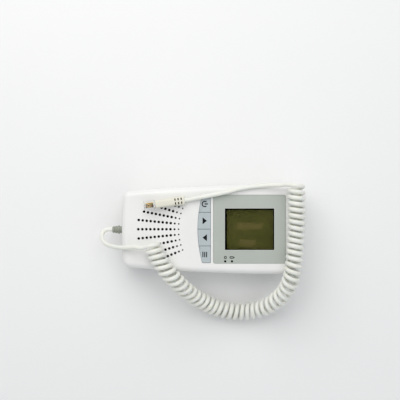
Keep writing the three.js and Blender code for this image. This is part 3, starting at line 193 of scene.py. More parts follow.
def rectangle(low, high, corner, steps=6):
    # A rectangle whose corners are arcs, counter-clockwise from the right side
    low = np.asarray(low, float)
    high = np.asarray(high, float)
    angle = (np.arange(4)[:, None] + np.linspace(0, 1, steps)).ravel() * math.pi / 2
    across = np.repeat([1, -1, -1, 1], steps)
    up = np.repeat([1, 1, -1, -1], steps)
    reach = (high - low) / 2 - corner
    x = across * reach[0] + corner * np.cos(angle)
    y = up * reach[1] + corner * np.sin(angle)
    return (low + high) / 2 + np.column_stack([x, y])


def softBlock(low, high, corner, edge, steps=6):
    # An upright block with rounded corners, and edges rounded above and below
    outline = rectangle(low[:2], high[:2], corner, steps)
    return lofted(outline, softLevels(low[2], high[2], edge, edge))


def turned(profile, place=(0, 0, 0), axis="z", sides=48):
    # Pairs of radius and height turned about an axis; heights rise along the outside
    profile = np.asarray(profile, float)
    angle = np.linspace(0, 2 * math.pi, sides, endpoint=False)[None, :]
    radius = profile[:, :1]
    heights = np.broadcast_to(profile[:, 1:], (len(profile), sides))
    rings = np.stack([radius * np.cos(angle), radius * np.sin(angle), heights], axis=2)
    if axis == "x":
        rings = rings[:, :, [2, 0, 1]]
    return closedRings(rings + np.asarray(place))


def joined(*shapes):
    # Several closed shapes as one: points in a row, and the corners of the faces counted on
    points = np.concatenate([np.asarray(shape[0]) for shape in shapes])
    faces = []
    start = 0
    for shapePoints, shapeFaces in shapes:
        faces.extend([[corner + start for corner in face] for face in shapeFaces])
        start += len(shapePoints)
    return points, faces


def looseObject(name, shape):
    # A mesh object at the origin, with its place in its points
    mesh = bpy.data.meshes.new(name)
    mesh.from_pydata(np.asarray(shape[0]), [], shape[1])
    mesh.update()
    made = bpy.data.objects.new(name, mesh)
    bpy.context.scene.collection.objects.link(made)
    return made


def dressed(made, material, body="main_unit", replaced=(), slot=None, crease=35):
    # The last step for every piece: shading, material, the nodes it stands for and the body it rides on.
    # Faces of more than four corners are caps and flats, which stay flat.
    mesh = made.data
    mesh.shade_smooth()
    mesh.set_sharp_from_angle(angle=math.radians(crease))
    corners = np.empty(len(mesh.polygons), np.int32)
    mesh.polygons.foreach_get("loop_total", corners)
    flat = mesh.attributes.get("sharp_face") or mesh.attributes.new("sharp_face", "BOOLEAN", "FACE")
    flat.data.foreach_set("value", corners > 4)
    mesh.materials.clear()
    mesh.materials.append(material)
    if replaced:
        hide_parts(*replaced)
    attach(made, body)
    return made


def addPiece(name, shape, material, **facts):
    return dressed(looseObject(name, shape), material, **facts)


def carved(made, additions=(), cuts=(), shared=()):
    # Keeps what is shared, joins and cuts closed shapes, then makes the result the piece's own mesh
    tools = []
    for shapes, operation in ((shared, "INTERSECT"), (additions, "UNION"), (cuts, "DIFFERENCE")):
        for shape in shapes:
            tool = looseObject("tool", shape)
            step = made.modifiers.new("carve", "BOOLEAN")
            step.operation = operation
            step.solver = "MANIFOLD"
            step.object = tool
            tools.append(tool)
    bpy.context.view_layer.update()
    finished = made.evaluated_get(bpy.context.evaluated_depsgraph_get())
    mesh = bpy.data.meshes.new_from_object(finished)
    made.modifiers.clear()
    made.data = mesh
    for tool in tools:
        bpy.data.objects.remove(tool)
    return made


# Shader node groups that several materials share
def newGroup(name, inputs, outputs):
    # inputs: name, kind and value of each socket; outputs: name and kind
    group = bpy.data.node_groups.new(name, "ShaderNodeTree")
    for socket, kind, value in inputs:
        made = group.interface.new_socket(socket, in_out="INPUT", socket_type=f"NodeSocket{kind}")
        made.default_value = value
    for socket, kind in outputs:
        group.interface.new_socket(socket, in_out="OUTPUT", socket_type=f"NodeSocket{kind}")
    return group, group.nodes.new("NodeGroupInput"), group.nodes.new("NodeGroupOutput")


def addNode(tree, kind, links=(), **settings):
    # links: pairs of an input socket's name or number and the output that feeds it
    node = tree.nodes.new(f"ShaderNode{kind}")
    for setting, value in settings.items():
        if setting == "values":
            for socket, number in value.items():
                node.inputs[socket].default_value = number
        else:
            setattr(node, setting, value)
    for socket, source in links:
        tree.links.new(source, node.inputs[socket])
    return node


def objectCoordinates(tree):
    return addNode(tree, "TexCoord").outputs["Object"]


texture = dict(driftDetail=3, driftRange=(0.36, 0.64), grainDetail=2, slowScale=90, slowDetail=4)
texture.update(hairDetail=1, hairRange=(0.66, 0.72), hairTurns=[(0.5, (1, 28, 4)), (-0.9, (28, 1, 4))])
texture.update(dustScale=260, dustDetail=3, hairScale=45.0, flowScale=500.0)


def feed(tree, socket, source):
    # An input socket gets a plain number, or a link from another node's output
    if isinstance(source, (int, float)):
        socket.default_value = source
    else:
        tree.links.new(source, socket)


def combined(tree, operation, first, second=0.5):
    node = addNode(tree, "Math", operation=operation)
    feed(tree, node.inputs[0], first)
    feed(tree, node.inputs[1], second)
    return node.outputs[0]


def noise(tree, where, scale, detail):
    node = addNode(tree, "TexNoise", [("Vector", where)], values={"Detail": detail})
    feed(tree, node.inputs["Scale"], scale)
    return node.outputs["Fac"]


def remapped(tree, value, low, high, toLow=0, toHigh=1):
    # The stretch from low to high of a value, carried onto the stretch from toLow to toHigh
    node = addNode(tree, "MapRange", [("Value", value)], values={"To Min": toLow, "To Max": toHigh})
    feed(tree, node.inputs["From Min"], low)
    feed(tree, node.inputs["From Max"], high)
    return node.outputs["Result"]


def mixedOut(group, given, result, factor, other):
    # The group's colour: its Color input, mixed by the factor towards another input
    mix = addNode(group, "Mix", data_type="RGBA")
    group.links.new(factor, mix.inputs["Factor"])
    group.links.new(given.outputs["Color"], mix.inputs[6])
    group.links.new(given.outputs[other], mix.inputs[7])
    group.links.new(mix.outputs[2], result.inputs["Color"])


def toneDriftGroup():
    # Slow change between two colours, as on plastic that has aged and been handled
    inputs = [("Color", "Color", (1, 1, 1, 1)), ("Shade", "Color", (0.5, 0.5, 0.5, 1))]
    inputs += [("Scale", "Float", 40.0), ("Amount", "Float", 0.5)]
    group, given, result = newGroup("toneDrift", inputs, [("Color", "Color")])
    cloud = noise(group, objectCoordinates(group), given.outputs["Scale"], texture["driftDetail"])
    spread = remapped(group, cloud, *texture["driftRange"])
    mixedOut(group, given, result, combined(group, "MULTIPLY", spread, given.outputs["Amount"]), "Shade")
    return group


def mouldGrainGroup():
    # Height of a fine moulded grain, and a roughness that follows it
    inputs = [("Scale", "Float", 3000.0), ("Roughness", "Float", 0.4), ("Spread", "Float", 0.1)]
    group, given, result = newGroup("mouldGrain", inputs, [("Height", "Float"), ("Roughness", "Float")])
    where = objectCoordinates(group)
    grain = noise(group, where, given.outputs["Scale"], texture["grainDetail"])
    slow = noise(group, where, texture["slowScale"], texture["slowDetail"])
    centred = combined(group, "SUBTRACT", combined(group, "ADD", grain, slow), 1)
    scaled = combined(group, "MULTIPLY", centred, given.outputs["Spread"])
    group.links.new(grain, result.inputs["Height"])
    group.links.new(combined(group, "ADD", scaled, given.outputs["Roughness"]), result.inputs["Roughness"])
    return group


def hairlinesGroup():
    # Sparse hairline scratches: stretched noise, cut off near its peaks, in two directions
    inputs = [("Scale", "Float", 60.0), ("Strength", "Float", 0.1)]
    group, given, result = newGroup("hairlines", inputs, [("Mask", "Float")])
    where = objectCoordinates(group)
    lines = []
    for turn, stretch in texture["hairTurns"]:
        values = {"Rotation": (0, 0, turn), "Scale": stretch}
        placed = addNode(group, "Mapping", [("Vector", where)], values=values)
        streaks = noise(group, placed.outputs[0], given.outputs["Scale"], texture["hairDetail"])
        lines.append(remapped(group, streaks, *texture["hairRange"]))
    either = combined(group, "MAXIMUM", *lines)
    group.links.new(combined(group, "MULTIPLY", either, given.outputs["Strength"]), result.inputs["Mask"])
    return group


def seamDustGroup():
    # A faint grey where dust gathers: a band round a given height, broken up by noise
    inputs = [("Color", "Color", (1, 1, 1, 1)), ("Dust", "Color", (0.5, 0.48, 0.45, 1))]
    inputs += [("Height", "Float", seamZ), ("Reach", "Float", 0.0006), ("Amount", "Float", 0.5)]
    group, given, result = newGroup("seamDust", inputs, [("Color", "Color")])
    where = objectCoordinates(group)
    height = addNode(group, "SeparateXYZ", [(0, where)]).outputs["Z"]
    away = combined(group, "ABSOLUTE", combined(group, "SUBTRACT", height, given.outputs["Height"]))
    near = remapped(group, away, 0, given.outputs["Reach"], 1, 0)
    cloud = noise(group, where, texture["dustScale"], texture["dustDetail"])
    broken = combined(group, "MULTIPLY", near, cloud)
    mixedOut(group, given, result, combined(group, "MULTIPLY", broken, given.outputs["Amount"]), "Dust")
    return group


toneDrift = toneDriftGroup()
mouldGrain = mouldGrainGroup()
hairlines = hairlinesGroup()
seamDust = seamDustGroup()


def useGroup(material, group, **values):
    # The group placed in a material with its own values; colours come without their alpha
    node = material.node_tree.nodes.new("ShaderNodeGroup")
    node.node_tree = group
    for socket, value in values.items():
        node.inputs[socket].default_value = (*value, 1) if isinstance(value, tuple) else value
    return node


def newMaterial(name, **values):
    # Values go to the shader's own sockets, with _ for each space in their names
    material = bpy.data.materials.new(name)
    material.use_nodes = True
    shader = material.node_tree.nodes["Principled BSDF"]
    for socket, value in values.items():
        shader.inputs[socket.replace("_", " ")].default_value = value
    return material, shader


def grained(material, shader, color, shade, drift, roughness, grain, depth, spread=0.1, scratches=0.0):
    # The finish of every moulded or painted piece: tone drift, moulded grain and hairlines
    tree = material.node_tree
    tone = useGroup(material, toneDrift, Color=color, Shade=shade, Scale=drift[0], Amount=drift[1])
    surface = useGroup(material, mouldGrain, Scale=grain, Roughness=roughness, Spread=spread)
    tree.links.new(tone.outputs["Color"], shader.inputs["Base Color"])
    rough = surface.outputs["Roughness"]
    if scratches:
        lines = useGroup(material, hairlines, Scale=texture["hairScale"], Strength=scratches)
        rough = addNode(tree, "Math", [(0, rough), (1, lines.outputs["Mask"])], operation="ADD").outputs[0]
    tree.links.new(rough, shader.inputs["Roughness"])
    bump = addNode(tree, "Bump", [("Height", surface.outputs["Height"])], values={"Distance": depth})
    tree.links.new(bump.outputs["Normal"], shader.inputs["Normal"])
    return tone


def plainFinish(name, color, shade, drift, roughness, grain, depth, spread=0.1, scratches=0.0, **values):
    material, shader = newMaterial(name, **values)
    grained(material, shader, color, shade, drift, roughness, grain, depth, spread, scratches)
    return material


def whitePlasticMaterial():
    # The plastic of the covers, with dust along their seam
    material, shader = newMaterial("whitePlastic", Coat_Weight=0.06, Coat_Roughness=0.25)
    color, shade = (0.86, 0.855, 0.84), (0.81, 0.805, 0.785)
    tone = grained(material, shader, color, shade, (22, 0.6), 0.36, 3800, 3e-6, scratches=0.1)
    dust = useGroup(material, seamDust, Height=seamZ, Reach=0.0007, Amount=0.7)
    material.node_tree.links.new(tone.outputs["Color"], dust.inputs["Color"])
    material.node_tree.links.new(dust.outputs["Color"], shader.inputs["Base Color"])
    return material


def clearMaterial(name, color, alpha, roughness, **more):
    # Clear moulded plastic: light passes, and faint flow marks change how sharp it is
    values = dict(dict(IOR=1.5, Transmission_Weight=1.0, Alpha=alpha), **more)
    material, shader = newMaterial(name, Base_Color=(*color, 1), **values)
    facts = dict(Scale=texture["flowScale"], Roughness=roughness, Spread=roughness)
    surface = useGroup(material, mouldGrain, **facts)
    material.node_tree.links.new(surface.outputs["Roughness"], shader.inputs["Roughness"])
    return material


# A finish: name, colour, shade, (scale, amount) of the drift between them, roughness, scale and depth of
# the grain, and then, where it isn't 0.1, how far the roughness strays with the grain
softGlow = dict(Subsurface_Weight=0.3, Subsurface_Radius=(1.0, 0.9, 0.7), Subsurface_Scale=0.002)
inkGloss = dict(Specular_IOR_Level=0.15)
dullGloss = dict(Specular_IOR_Level=0.1)
clothGloss = dict(Specular_IOR_Level=0.02)
whitePlastic = whitePlasticMaterial()
greyPaint = plainFinish(
    "greyPaint", (0.45, 0.485, 0.44), (0.41, 0.44, 0.4), (30, 0.6), 0.42, 4200, 2e-6, scratches=0.08
)
# A pale grey for the window's frame: a painted highlight along the window's edge
paintedRimHighlight = plainFinish("paintedRimHighlight", (0.66, 0.68, 0.64), (0.6, 0.62, 0.58), (60, 0.5), 0.4, 4200, 1e-6)
keyPlastic = plainFinish("keyPlastic", (0.465, 0.52, 0.54), (0.43, 0.475, 0.49), (70, 0.7), 0.46, 3600, 4e-6)
keyInk = plainFinish(
    "keyInk", (0.004, 0.004, 0.005), (0.008, 0.008, 0.009), (300, 0.6), 0.6, 5200, 2e-6, **inkGloss
)
ivoryVinyl = plainFinish(
    "ivoryVinyl", (0.84, 0.845, 0.79), (0.78, 0.785, 0.73), (55, 0.7), 0.42, 2600, 5e-6, 0.14, **softGlow
)
creamVinyl = plainFinish(
    "creamVinyl", (0.79, 0.77, 0.66), (0.74, 0.715, 0.6), (70, 0.6), 0.45, 2600, 5e-6, 0.12
)
reliefVinyl = plainFinish(
    "reliefVinyl", (0.33, 0.345, 0.29), (0.28, 0.29, 0.245), (90, 0.6), 0.5, 2600, 6e-6, 0.14
)
blackPlastic = plainFinish(
    "blackPlastic", (0.016, 0.016, 0.017), (0.03, 0.03, 0.03), (120, 0.5), 0.5, 2600, 6e-6
)
greySilicone = plainFinish("greySilicone", (0.33, 0.35, 0.37), (0.28, 0.3, 0.32), (80, 0.6), 0.7, 1800, 6e-6)
boardGreen = plainFinish("boardGreen", (0.02, 0.13, 0.06), (0.03, 0.17, 0.08), (200, 0.6), 0.35, 1500, 4e-6)
steel = plainFinish(
    "steel", (0.56, 0.57, 0.58), (0.5, 0.5, 0.51), (200, 0.6), 0.3, 2200, 3e-6, 0.2, Metallic=1.0
)
gold = plainFinish(
    "gold", (0.75, 0.55, 0.26), (0.68, 0.48, 0.2), (600, 0.5), 0.25, 2600, 2e-6, 0.15, Metallic=1.0
)
wireColors = {
    "black": ((0.01, 0.01, 0.01), (0.02, 0.02, 0.02)),
    "red": ((0.28, 0.02, 0.015), (0.22, 0.02, 0.012)),
    "green": ((0.02, 0.13, 0.03), (0.016, 0.1, 0.025)),
    "yellow": ((0.72, 0.45, 0.05), (0.62, 0.4, 0.05)),
}
wireFinishes = {
    name: plainFinish(f"{name}Wire", *colors, (200, 0.5), 0.4, 2600, 2e-6)
    for name, colors in wireColors.items()
}
blackPaper = plainFinish(
    "blackPaper", (0.012, 0.012, 0.012), (0.022, 0.02, 0.02), (300, 0.6), 0.85, 1200, 2e-5
)
grilleBlack = plainFinish(
    "grilleBlack", (0.002, 0.002, 0.002), (0.004, 0.004, 0.004), (900, 0.7), 1.0, 2500, 2e-5, **clothGloss
)
darkFoam = plainFinish("darkFoam", (0.02, 0.02, 0.021), (0.03, 0.03, 0.03), (800, 0.8), 0.95, 1500, 6e-5)
footRubber = plainFinish(
    "footRubber", (0.085, 0.088, 0.09), (0.11, 0.112, 0.115), (160, 0.6), 0.75, 2200, 8e-6
)
cellWrap = plainFinish("cellWrap", (0.05, 0.17, 0.27), (0.04, 0.14, 0.23), (90, 0.5), 0.28, 1500, 2e-6)
clearPlastic = clearMaterial("clearPlastic", (0.98, 0.98, 0.97), 0.34, 0.06)
guidePlastic = plainFinish(
    "guidePlastic", (0.003, 0.003, 0.003), (0.006, 0.006, 0.006), (200, 0.5), 0.4, 900, 1e-6, 0.05,
    **dullGloss
)
panelGlass = plainFinish(
    "panelGlass", (0.05, 0.055, 0.03), (0.07, 0.075, 0.04), (60, 0.5), 0.12, 900, 1e-6, 0.05
)
# The window's gloss is its coat: a flat pane bends no light that shows, and must not mirror from inside
paneGloss = dict(IOR=1.03, Coat_Weight=1.0, Coat_Roughness=0.03, Coat_IOR=1.5)
windowAcrylic = clearMaterial("windowAcrylic", (0.97, 0.98, 0.97), 0.45, 0.03, **paneGloss)
liquidCrystal = plainFinish(
    "liquidCrystal", (0.062, 0.064, 0.012), (0.078, 0.074, 0.017), (45, 0.8), 0.4, 2500, 1e-6, 0.06,
    **dullGloss
)
floorPaint = plainFinish("floorPaint", (0.88, 0.88, 0.875), (0.865, 0.865, 0.86), (4, 0.5), 0.85, 700, 1e-6)
cardPaint = plainFinish("cardPaint", (0.012, 0.012, 0.01), (0.02, 0.018, 0.014), (6, 0.5), 0.9, 700, 1e-6)
floor.data.materials.append(floorPaint)
card.data.materials.append(cardPaint)
print("materials:", len(bpy.data.materials))


# Cord: one unbroken tube from the relief, through the curls, to the plug's boot
cord = dict(diameter=0.0035, play=0.0003, leadY=-0.0006, sides=14, handStep=0.0011)
cord.update(curlRadius=0.0054, turns=46, stepsPerTurn=24, pastTop=1 / 16, axisSteps=3000, nudge=0.001)
cord.update(lean=math.radians(12), leanGrows=(0.5, 3), leanFades=(10, 14), reliefTip=-0.081, intoBoot=0.0006)
plug = dict(place=(-0.0542, 0.0186, 0.0421655), yaw=math.radians(8.2), lean=math.radians(9.20736))
plug.update(bodyLength=0.0084, width=0.00765, height=0.0065, bootLength=0.0238)

cordRadius = cord["diameter"] / 2
axisOnFace = faceZ + cord["play"] + cordRadius + cord["curlRadius"]
axisOnFloor = cord["play"] + cordRadius + cord["curlRadius"]
curlAxis = np.array([
    (-0.0482, -0.0124, axisOnFace), (-0.0466, -0.0164, axisOnFace), (-0.0446, -0.0205, axisOnFace),
    (-0.042, -0.0247, axisOnFace), (-0.0376, -0.0312, axisOnFace - 0.0005),
    (-0.0342, -0.0353, axisOnFace - 0.0017), (-0.0292, -0.0411, axisOnFace - 0.0054),
    (-0.0228, -0.0477, axisOnFace - 0.012), (-0.0159, -0.0539, axisOnFace - 0.0198),
    (-0.008, -0.0592, axisOnFace - 0.0266), (0.0006, -0.0636, axisOnFace - 0.0312),
    (0.0095, -0.0666, axisOnFloor + 0.0009), (0.0187, -0.068, axisOnFloor + 0.0001),
    (0.0282, -0.068, axisOnFloor + 0.0005), (0.0374, -0.0662, axisOnFloor + 0.003),
    (0.046, -0.0622, axisOnFloor + 0.0086), (0.0535, -0.0563, axisOnFloor + 0.0162),
    (0.0592, -0.0487, axisOnFloor + 0.0239), (0.0626, -0.0396, axisOnFace - 0.0031),
    (0.0645, -0.0302, axisOnFace - 0.0004), (0.0654, -0.0211, axisOnFace + 0.0002),
    (0.066, -0.012, axisOnFace), (0.0666, -0.0032, axisOnFace), (0.067, 0.0053, axisOnFace),
    (0.0671, 0.0139, axisOnFace), (0.067, 0.0226, axisOnFace), (0.0667, 0.0309, axisOnFace),
    (0.0665, 0.0351, axisOnFace),
])
leadRoute = np.array([
    (-0.0813, -0.0006, 0.017), (-0.0848, -0.0006, 0.017), (-0.0879, -0.0019, 0.0183),
    (-0.0893, -0.0058, 0.0211), (-0.0875, -0.0103, 0.0252), (-0.0835, -0.0129, 0.0292),
    (-0.0782, -0.0141, 0.0328), (-0.0724, -0.0146, 0.0358), (-0.0673, -0.0145, 0.0383),
    (-0.0623, -0.0141, 0.0411),
])
tailRoute = np.array([
    (0.0545, 0.0352, 0.0422), (0.049, 0.0352, 0.0396), (0.0435, 0.035, 0.0375), (0.038, 0.0346, 0.0363),
    (0.032, 0.034, 0.036), (0.027, 0.0333, 0.0359), (0.02, 0.032, 0.036), (0.013, 0.03, 0.0363),
    (-0.002, 0.0269, 0.03675), (-0.012, 0.025, 0.03675),
])


def plugTurn():
    # The plug's axes in the frame: leaned about Y, then turned about Z
    c, s = math.cos(plug["lean"]), math.sin(plug["lean"])
    lean = np.array([(c, 0, s), (0, 1, 0), (-s, 0, c)])
    c, s = math.cos(plug["yaw"]), math.sin(plug["yaw"])
    return np.array([(c, -s, 0), (s, c, 0), (0, 0, 1)]) @ lean


def fromPlug(points):
    # From the plug's own axes, tip at the origin and cord end along +X, to the frame
    return np.asarray(points) @ plugTurn().T + plug["place"]


def smoothThrough(points, at):
    # Centripetal Catmull-Rom curve through points, at parameters that count the points
    padded = np.vstack([2 * points[0] - points[1], points, 2 * points[-1] - points[-2]])
    span = np.clip(at.astype(int), 0, len(points) - 2)
    t = (at - span)[:, None]
    p0, p1, p2, p3 = (padded[span + i] for i in range(4))
    spans = (p1 - p0, p2 - p1, p3 - p2)
    a, b, c = (np.sqrt(np.linalg.norm(step, axis=1, keepdims=True)) for step in spans)
    m1 = ((p1 - p0) / a - (p2 - p0) / (a + b) + (p2 - p1) / b) * b
    m2 = ((p2 - p1) / b - (p3 - p1) / (b + c) + (p3 - p2) / c) * b
    return p1 + m1 * t + (3 * (p2 - p1) - 2 * m1 - m2) * t**2 + (2 * (p1 - p2) + m1 + m2) * t**3


def unit(vectors):
    # Each vector over its own length
    return vectors / np.linalg.norm(vectors, axis=-1, keepdims=True)


def eased(value, low, high):
    # 0 up to low, 1 from high on, and between them 3 s^2 - 2 s^3
    share = np.clip((value - low) / (high - low), 0, 1)
    return share**2 * (3 - 2 * share)


def curledPoints():
    # A helix about the axis: turns are spread evenly over the axis as seen from above. It starts just
    # before the top of a turn and ends just past one, and the turns near its start lean the way it goes.
    at = np.linspace(0, len(curlAxis) - 1, cord["axisSteps"] + 1)
    axis = smoothThrough(curlAxis, at)
    plan = np.concatenate([[0], np.cumsum(np.linalg.norm(np.diff(axis[:, :2], axis=0), axis=1))])
    count = round((cord["turns"] + 2 * cord["pastTop"]) * cord["stepsPerTurn"]) + 1
    spread = np.interp(np.linspace(0, plan[-1], count), plan, at)
    middle = smoothThrough(curlAxis, spread)
    nudge = cord["nudge"]
    forward = unit(smoothThrough(curlAxis, spread + nudge) - smoothThrough(curlAxis, spread - nudge))
    left = unit(np.column_stack([-forward[:, 1], forward[:, 0], np.zeros(count)]))
    up = np.cross(forward, left)
    turn = np.linspace(-cord["pastTop"], cord["turns"] + cord["pastTop"], count)[:, None]
    lean = cord["lean"] * eased(turn, *cord["leanGrows"]) * (1 - eased(turn, *cord["leanFades"]))
    side = np.cos(lean) * left + np.sin(lean) * forward
    angle = 2 * math.pi * turn
    spoke = np.sin(angle) * side + np.cos(angle) * up
    drift = plan[-1] / (2 * math.pi * cord["turns"] * cord["curlRadius"])
    way = unit(np.cos(angle) * side - np.sin(angle) * up + drift * forward)
    return middle + spoke * cord["curlRadius"], spoke, way[0], way[-1]


def handStretch(points, skip):
    # Evenly stepped points through listed ones; skip says how many spans are left out at each end
    spans = np.linalg.norm(np.diff(points, axis=0), axis=1)
    pieces = [
        np.linspace(i, i + 1, max(2, math.ceil(spans[i] / cord["handStep"])), endpoint=False)
        for i in range(skip[0], len(spans) - skip[1])
    ]
    return smoothThrough(points, np.concatenate(pieces))


def cordCentre():
    # The listed lead, the helix, then the listed tail, and at each point a side vector for the tube
    helix, spoke, enter, leave = curledPoints()
    first = helix[0] - enter * cord["diameter"]
    last = helix[-1] + leave * cord["diameter"]
    bend = cord["play"] + cord["diameter"]
    bootEnd = fromPlug([plug["bodyLength"] + cord["play"] + plug["bootLength"], 0, 0])
    along = plugTurn()[:, 0]
    start = np.array([(cord["reliefTip"] + cord["diameter"] / 4, cord["leadY"], seamZ)])
    lead = np.vstack([start, leadRoute, first - enter * bend, first, helix[:3]])
    ending = [bootEnd + along * bend, bootEnd - along * cord["intoBoot"]]
    tail = np.vstack([helix[-3:], last, last + leave * bend, tailRoute, ending])
    leadPoints = handStretch(lead, (0, 2))
    tailPoints = handStretch(tail, (2, 0))[1:]
    centre = np.vstack([leadPoints, helix, tailPoints, tail[-1:]])
    above = np.array([(0, 0, 1.0)])
    side = np.vstack([np.repeat(above, len(leadPoints), 0), spoke, np.repeat(above, len(tailPoints) + 1, 0)])
    return centre, side


def tube(centre, side, radius, sides):
    # Rings square to the line, each turned towards its side vector
    forward = unit(np.gradient(centre, axis=0))
    outward = unit(side - forward * np.sum(side * forward, axis=1, keepdims=True))
    across = np.cross(forward, outward)
    angle = np.linspace(0, 2 * math.pi, sides, endpoint=False)[None, :, None]
    rings = centre[:, None] + radius * (np.cos(angle) * outward[:, None] + np.sin(angle) * across[:, None])
    return closedRings(rings)


def addCord():
    # The tube, with its length measured along its centre line
    centre, side = cordCentre()
    replaced = ("cord_lead", "cord_curl", "cord_tail")
    shape = tube(centre, side, cordRadius, cord["sides"])
    line = addPiece("cord", shape, ivoryVinyl, replaced=replaced, slot="ivory_vinyl")
    length = float(np.sum(np.linalg.norm(np.diff(centre, axis=0), axis=1)))
    print("cord:", round(length, 4), "m")
    return line, centre, length


cordPiece, cordLine, cordLength = addCord()


# Covers: smooth shells over the housing's outline
housing = dict(taper=0.0118, widestFromEnd=0.0125, endBulge=0.0016, cornerRadius=0.006, edgeRadius=0.0045)
housing.update(innerEdgeRadius=0.0023, wall=0.0022, play=0.0003, past=0.001, seamRound=0.0003)
housing.update(lip=0.00095, lipHeight=0.0011, sidePoints=60, cornerPoints=14, endPoints=22, rounds=12)
housing.update(edgeSteps=12, innerSteps=6, seamSteps=3)
wall = housing["wall"]
play = housing["play"]
ceilingZ = faceZ - wall
floorZ = backZ + wall


def housingOutline():
    # Sides: half width = widest - taper / 2 * share^2. Ends: reach = endX - bulge * (y / widest)^2.
    # Each corner is an arc that touches both, found by moving its centre a few times.
    widest = frontHigh.y
    widestX = endX - housing["widestFromEnd"]
    span = widestX + endX
    radius = housing["cornerRadius"]

    def halfWidth(x):
        return widest - housing["taper"] / 2 * ((widestX - x) / span) ** 2

    def reach(y):
        return endX - housing["endBulge"] * (y / widest) ** 2

    corners = []
    for end in (1, -1):
        centre = [end * (endX - radius), halfWidth(end * endX) - radius]
        sideAngle = math.pi / 2
        endAngle = 0 if end > 0 else math.pi
        for _ in range(housing["rounds"]):
            touchX = centre[0] + radius * math.cos(sideAngle)
            touchY = centre[1] + radius * math.sin(endAngle)
            sideAngle = math.pi / 2 + math.atan(housing["taper"] * (widestX - touchX) / span**2)
            lean = math.atan(2 * housing["endBulge"] * touchY / widest**2)
            endAngle = lean if end > 0 else math.pi - lean
            centre[1] = halfWidth(touchX) - radius * math.sin(sideAngle)
            centre[0] = end * reach(touchY) - radius * math.cos(endAngle)
        corners.append((centre, sideAngle, endAngle))

    def arc(corner, start, stop):
        angle = np.linspace(start, stop, housing["cornerPoints"])
        x, y = corner[0]
        return np.column_stack([x + radius * np.cos(angle), y + radius * np.sin(angle)])

    rightArc = arc(corners[0], corners[0][2], corners[0][1])
    leftArc = arc(corners[1], corners[1][1], corners[1][2])
    sideX = np.linspace(rightArc[-1, 0], leftArc[0, 0], housing["sidePoints"] + 1)[1:-1]
    rightY = np.linspace(0, rightArc[0, 1], housing["endPoints"], endpoint=False)
    leftY = np.linspace(leftArc[-1, 1], 0, housing["endPoints"] + 1)[1:]
    side = np.column_stack([sideX, halfWidth(sideX)])
    rightEnd = np.column_stack([reach(rightY), rightY])
    leftEnd = np.column_stack([-reach(leftY), leftY])
    upper = np.vstack([rightEnd, rightArc, side, leftArc, leftEnd])
    return np.vstack([upper, upper[-2:0:-1] * (1, -1)])


outline = housingOutline()


def frontShell():
    # From the cavity's ceiling down its wall, round the seam, up the outside and over the face
    seam = seamZ + play / 2
    rebate = wall - housing["lip"] - play
    rebateTop = seamZ + housing["lipHeight"] + play
    inside = (housing["innerEdgeRadius"], -housing["innerEdgeRadius"])
    inner = quarter(housing["innerSteps"])[::-1] * inside + (wall, ceilingZ)
    lowest = quarter(housing["seamSteps"])[::-1] * housing["seamRound"] + (0, seam)
    outside = (housing["edgeRadius"], -housing["edgeRadius"])
    fillet = quarter(housing["edgeSteps"]) * outside + (0, faceZ)
    rim = [(wall, rebateTop), (rebate, rebateTop), (rebate, seam)]
    support = [(housing["edgeRadius"] + play, faceZ)]
    return lofted(outline, np.concatenate([inner, rim, lowest, fillet, support]))


def rearShell():
    # From the flat of the back up the outside to the seam, over the lip and down into the floor
    seam = seamZ - play / 2
    lipInset = wall - housing["lip"]
    lipTop = seamZ + housing["lipHeight"]
    support = [(housing["edgeRadius"] + play, backZ)]
    fillet = quarter(housing["edgeSteps"])[::-1] * housing["edgeRadius"] + (0, backZ)
    highest = quarter(housing["seamSteps"]) * (housing["seamRound"], -housing["seamRound"]) + (0, seam)
    rim = [(lipInset, seam), (lipInset, lipTop - play / 2), (lipInset + play / 2, lipTop), (wall, lipTop)]
    inner = quarter(housing["innerSteps"]) * housing["innerEdgeRadius"] + (wall, floorZ)
    return lofted(outline, np.concatenate([support, fillet, highest, rim, inner]))


def post(x, y, bottom, top, radius, sides=32):
    # An upright rod
    return turned([(radius, bottom), (radius, top)], (x, y, 0), sides=sides)


def lyingRod(x0, x1, y, z, radius, sides=32):
    # A rod along X
    return turned([(radius, x0), (radius, x1)], (0, y, z), "x", sides)


# Speaker grille: nine rays of holes that aim at one point. Counts go from the middle ray outwards.
speakerLow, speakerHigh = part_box("speaker_gasket")
speakerX = (speakerLow.x + speakerHigh.x) / 2
grille = dict(fanCentre=0.06, innerRadius=0.0436, pitch=0.00322, rayAngle=math.radians(5.6))
grille.update(counts=(11, 11, 10, 9, 6), holeRadius=0.00107, tapers=(0.6, 0.77), flare=0.00005)
grille.update(depth=0.003, sides=18)


def grilleCutter():
    # Hole i of a ray is innerRadius + i * pitch from the fan's centre, at the ray's angle. The first
    # holes of each ray are smaller, and each hole opens a little at the face.
    flare = grille["flare"]
    shapes = []
    for ray, count in enumerate(grille["counts"]):
        for side in (1, -1) if ray else (1,):
            angle = side * ray * grille["rayAngle"]
            for i in range(count):
                reach = grille["innerRadius"] + i * grille["pitch"]
                share = grille["tapers"][i] if i < len(grille["tapers"]) else 1
                radius = share * grille["holeRadius"]
                x = speakerX + grille["fanCentre"] - reach * math.cos(angle)
                place = (x, reach * math.sin(angle), 0)
                profile = [(radius, ceilingZ - grille["depth"]), (radius, faceZ - flare)]
                profile += [(radius + flare, faceZ), (radius + flare, faceZ + housing["past"])]
                shapes.append(turned(profile, place, sides=grille["sides"]))
    return joined(*shapes)


